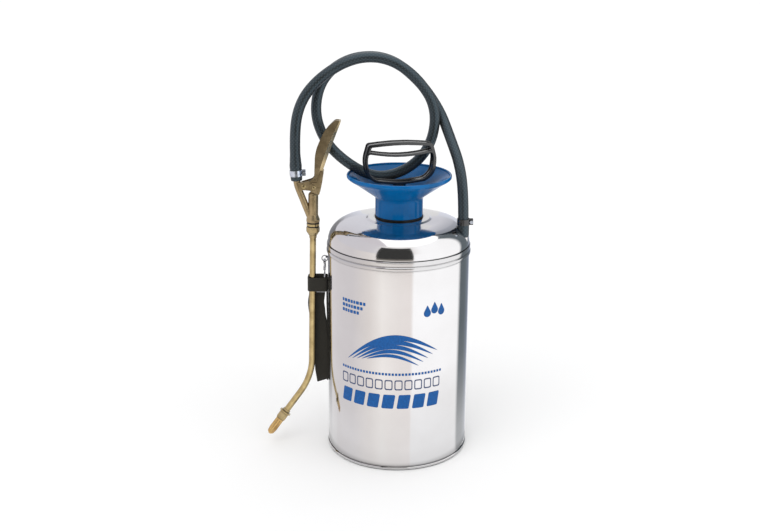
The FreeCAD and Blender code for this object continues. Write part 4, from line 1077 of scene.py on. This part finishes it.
def make_tent():
    """Glowing sheets, seen only in reflections, that paint the reflection of paper walls and
    floor, a dark gap for the viewer and a ceiling.
    """
    def wall(seen):
        return ring_color(TENT_RING, seen)

    def upper(seen):
        return ring_color(TENT_UPPER, seen)

    tent_grid("tent_wall", [(TENT_R, TENT_LOW, wall), (TENT_R, TENT_SPLIT, wall)])
    tent_grid("tent_top", [(TENT_R, TENT_SPLIT, upper), (TENT_R, TENT_HIGH, upper)])
    # the rings next to the tank's foot are darker: a painted shadow in the floor's reflection
    tent_grid("tent_floor", [
        (radius, TENT_LOW, near_floor(share, shade))
        for radius, share, shade in ((0.104, 1.0, 0.5), (0.116, 1.0, 0.92), (0.15, 0.9, 1.0),
                                     (0.28, 0.4, 1.0), (0.42, 0.1, 1.0), (TENT_R, 0.0, 1.0))])
    for name, low, high, color in GAP_SHEETS:
        gap = upright_sheet(name, GAP_R, low, high, GAP_FROM, GAP_TO, parts=24)
        gap.data.materials.append(glowing(name, color)[0])
        only_reflected(gap)
    for name, x0, x1, color in CEILING_SHEETS:
        points = [(x0, -TENT_R, TENT_HIGH), (x1, -TENT_R, TENT_HIGH), (x1, TENT_R, TENT_HIGH),
                  (x0, TENT_R, TENT_HIGH)]
        sheet = from_lists(name, points, [(0, 1, 2, 3)])
        sheet.data.materials.append(glowing(name, color)[0])
        only_reflected(sheet)


def make_floor():
    points = [(-FLOOR_HALF, -FLOOR_HALF, 0), (FLOOR_HALF, -FLOOR_HALF, 0),
              (FLOOR_HALF, FLOOR_HALF, 0), (-FLOOR_HALF, FLOOR_HALF, 0)]
    floor = from_lists("floor", points, [(0, 1, 2, 3)])
    paper = Surface("paper", (0.95, 0.95, 0.95), 0.9, Specular_IOR_Level=0.1)
    paper.bump(paper.noise(90.0, 2.0), 0.0002, 0.05)
    floor.data.materials.append(paper.material)


def make_light():
    """A white studio sky, with a key and a fill sun that no shiny surface shows."""
    world = bpy.data.worlds.new("studio")
    world.use_nodes = True
    background = world.node_tree.nodes["Background"]
    background.inputs["Color"].default_value = (1.0, 1.0, 1.0, 1)
    background.inputs["Strength"].default_value = 0.92
    scene.world = world
    scene.view_settings.view_transform = "Standard"
    for name, heading, height, power in SUNS:
        data = bpy.data.lights.new(name, "SUN")
        data.energy = power
        data.angle = SUN_SPREAD
        light = bpy.data.objects.new(name, data)
        toward = -Vector((*heading, height))
        light.rotation_euler = toward.to_track_quat("-Z", "Y").to_euler()
        light.visible_glossy = False
        scene.collection.objects.link(light)


# ------------------------------------------------------------------ build

make_camera()
make_hose(hose_cover())
STEEL = polished_steel()
BRASS = brass("brass", (0.45, 0.35, 0.20), (0.30, 0.23, 0.125), 0.36, 0.48)
# the lever's faces towards -X get painted shade
LEVER_BRASS = brass("lever_brass", (0.52, 0.41, 0.24), (0.35, 0.27, 0.15), 0.24, 0.38, 0.36)
# painted shade reaches farther into the nut's and the tip's hollows, darkest in the tip's flutes
NUT_BRASS = brass("nut_brass", (0.50, 0.40, 0.215), (0.36, 0.28, 0.14), 0.18, 0.3,
                  crevice_shade=(0.003, 0.25, 0.5, 0.97))
GOLD_BRASS = brass("gold_brass", (0.74, 0.52, 0.22), (0.40, 0.25, 0.10), 0.05, 0.14,
                   crevice_shade=(0.003, 0.08, 0.6, 0.98))
BRIGHT_BRASS = brass("bright_brass", (0.56, 0.45, 0.23), (0.36, 0.275, 0.13), 0.06, 0.16)
ZINC = plated_steel("zinc_plate", (0.62, 0.68, 0.78), 0.2, 0.34)
DARK_ZINC = plated_steel("worn_zinc", (0.32, 0.33, 0.36), 0.2, 0.34)
BLUE = moulded("blue_plastic", (0.001, 0.113, 0.33), 0.08, 0.18, grain=0.12, mottle=0.12,
               Specular_IOR_Level=0.16)
BLACK = moulded("black_plastic", (0.007, 0.0075, 0.009), 0.12, 0.24, Specular_IOR_Level=0.85)
WHITE = moulded("white_plastic", (0.7, 0.7, 0.67), 0.4, 0.55, mottle=0.05)
RUBBER = plain_rubber("black_rubber", (0.010, 0.010, 0.011))
CLOTH = webbing()
BLUE_INK = printed_ink("blue_ink", (0.003, 0.085, 0.30))
GREY_INK = printed_ink("grey_ink", (0.05, 0.075, 0.16))

# the band's steel is a darker copy of the tank's, painted shade
make_tank(STEEL, polished_steel("band_steel", 0.86))
make_funnel(BLUE)
make_handle(BLACK)
make_spring(ZINC)
make_wrap(CLOTH)
make_bundle(CLOTH)
make_free_run(CLOTH)
make_label(BLUE_INK, GREY_INK)

paint(STEEL, "tank_foot", "tank_bottom", "mouth_collar", "outlet_fitting")
paint(RUBBER, "neck_gasket", "pump_gasket", "piston_cup", "check_valve", "stem_seal",
      "stem_packing", "seat_washer", "wand_packing", "nozzle_oring")
paint(BLACK, "pump_cap", "tank_clamp", "rod_guide", "foot_valve_cage")
paint(WHITE, "pump_barrel", "foot_valve_seat", "piston_top_disc", "piston_bottom_disc",
      "dip_tube", "dip_strainer")
paint(ZINC, "pump_rod", "piston_nut", "handle_pin", "valve_clamp",
      "valve_clamp_screw", "tank_clamp_screw")
paint(DARK_ZINC, "strap_eye", "strap_ring", "snap_hook", "hook_gate", "gate_pin",
      "hook_swivel", "strap_slide")
paint(BRASS, "valve_body", "valve_stem", "wand_collar", "nozzle_core")
paint(LEVER_BRASS, "lever", "lock_latch")
paint(NUT_BRASS, "wand_nut", "nozzle_body", "fulcrum_pin", "link_pin")
paint(GOLD_BRASS, "nozzle_tip")
paint(BRIGHT_BRASS, "valve_seat", "wand_tube")

make_floor()
make_light()
make_tent()
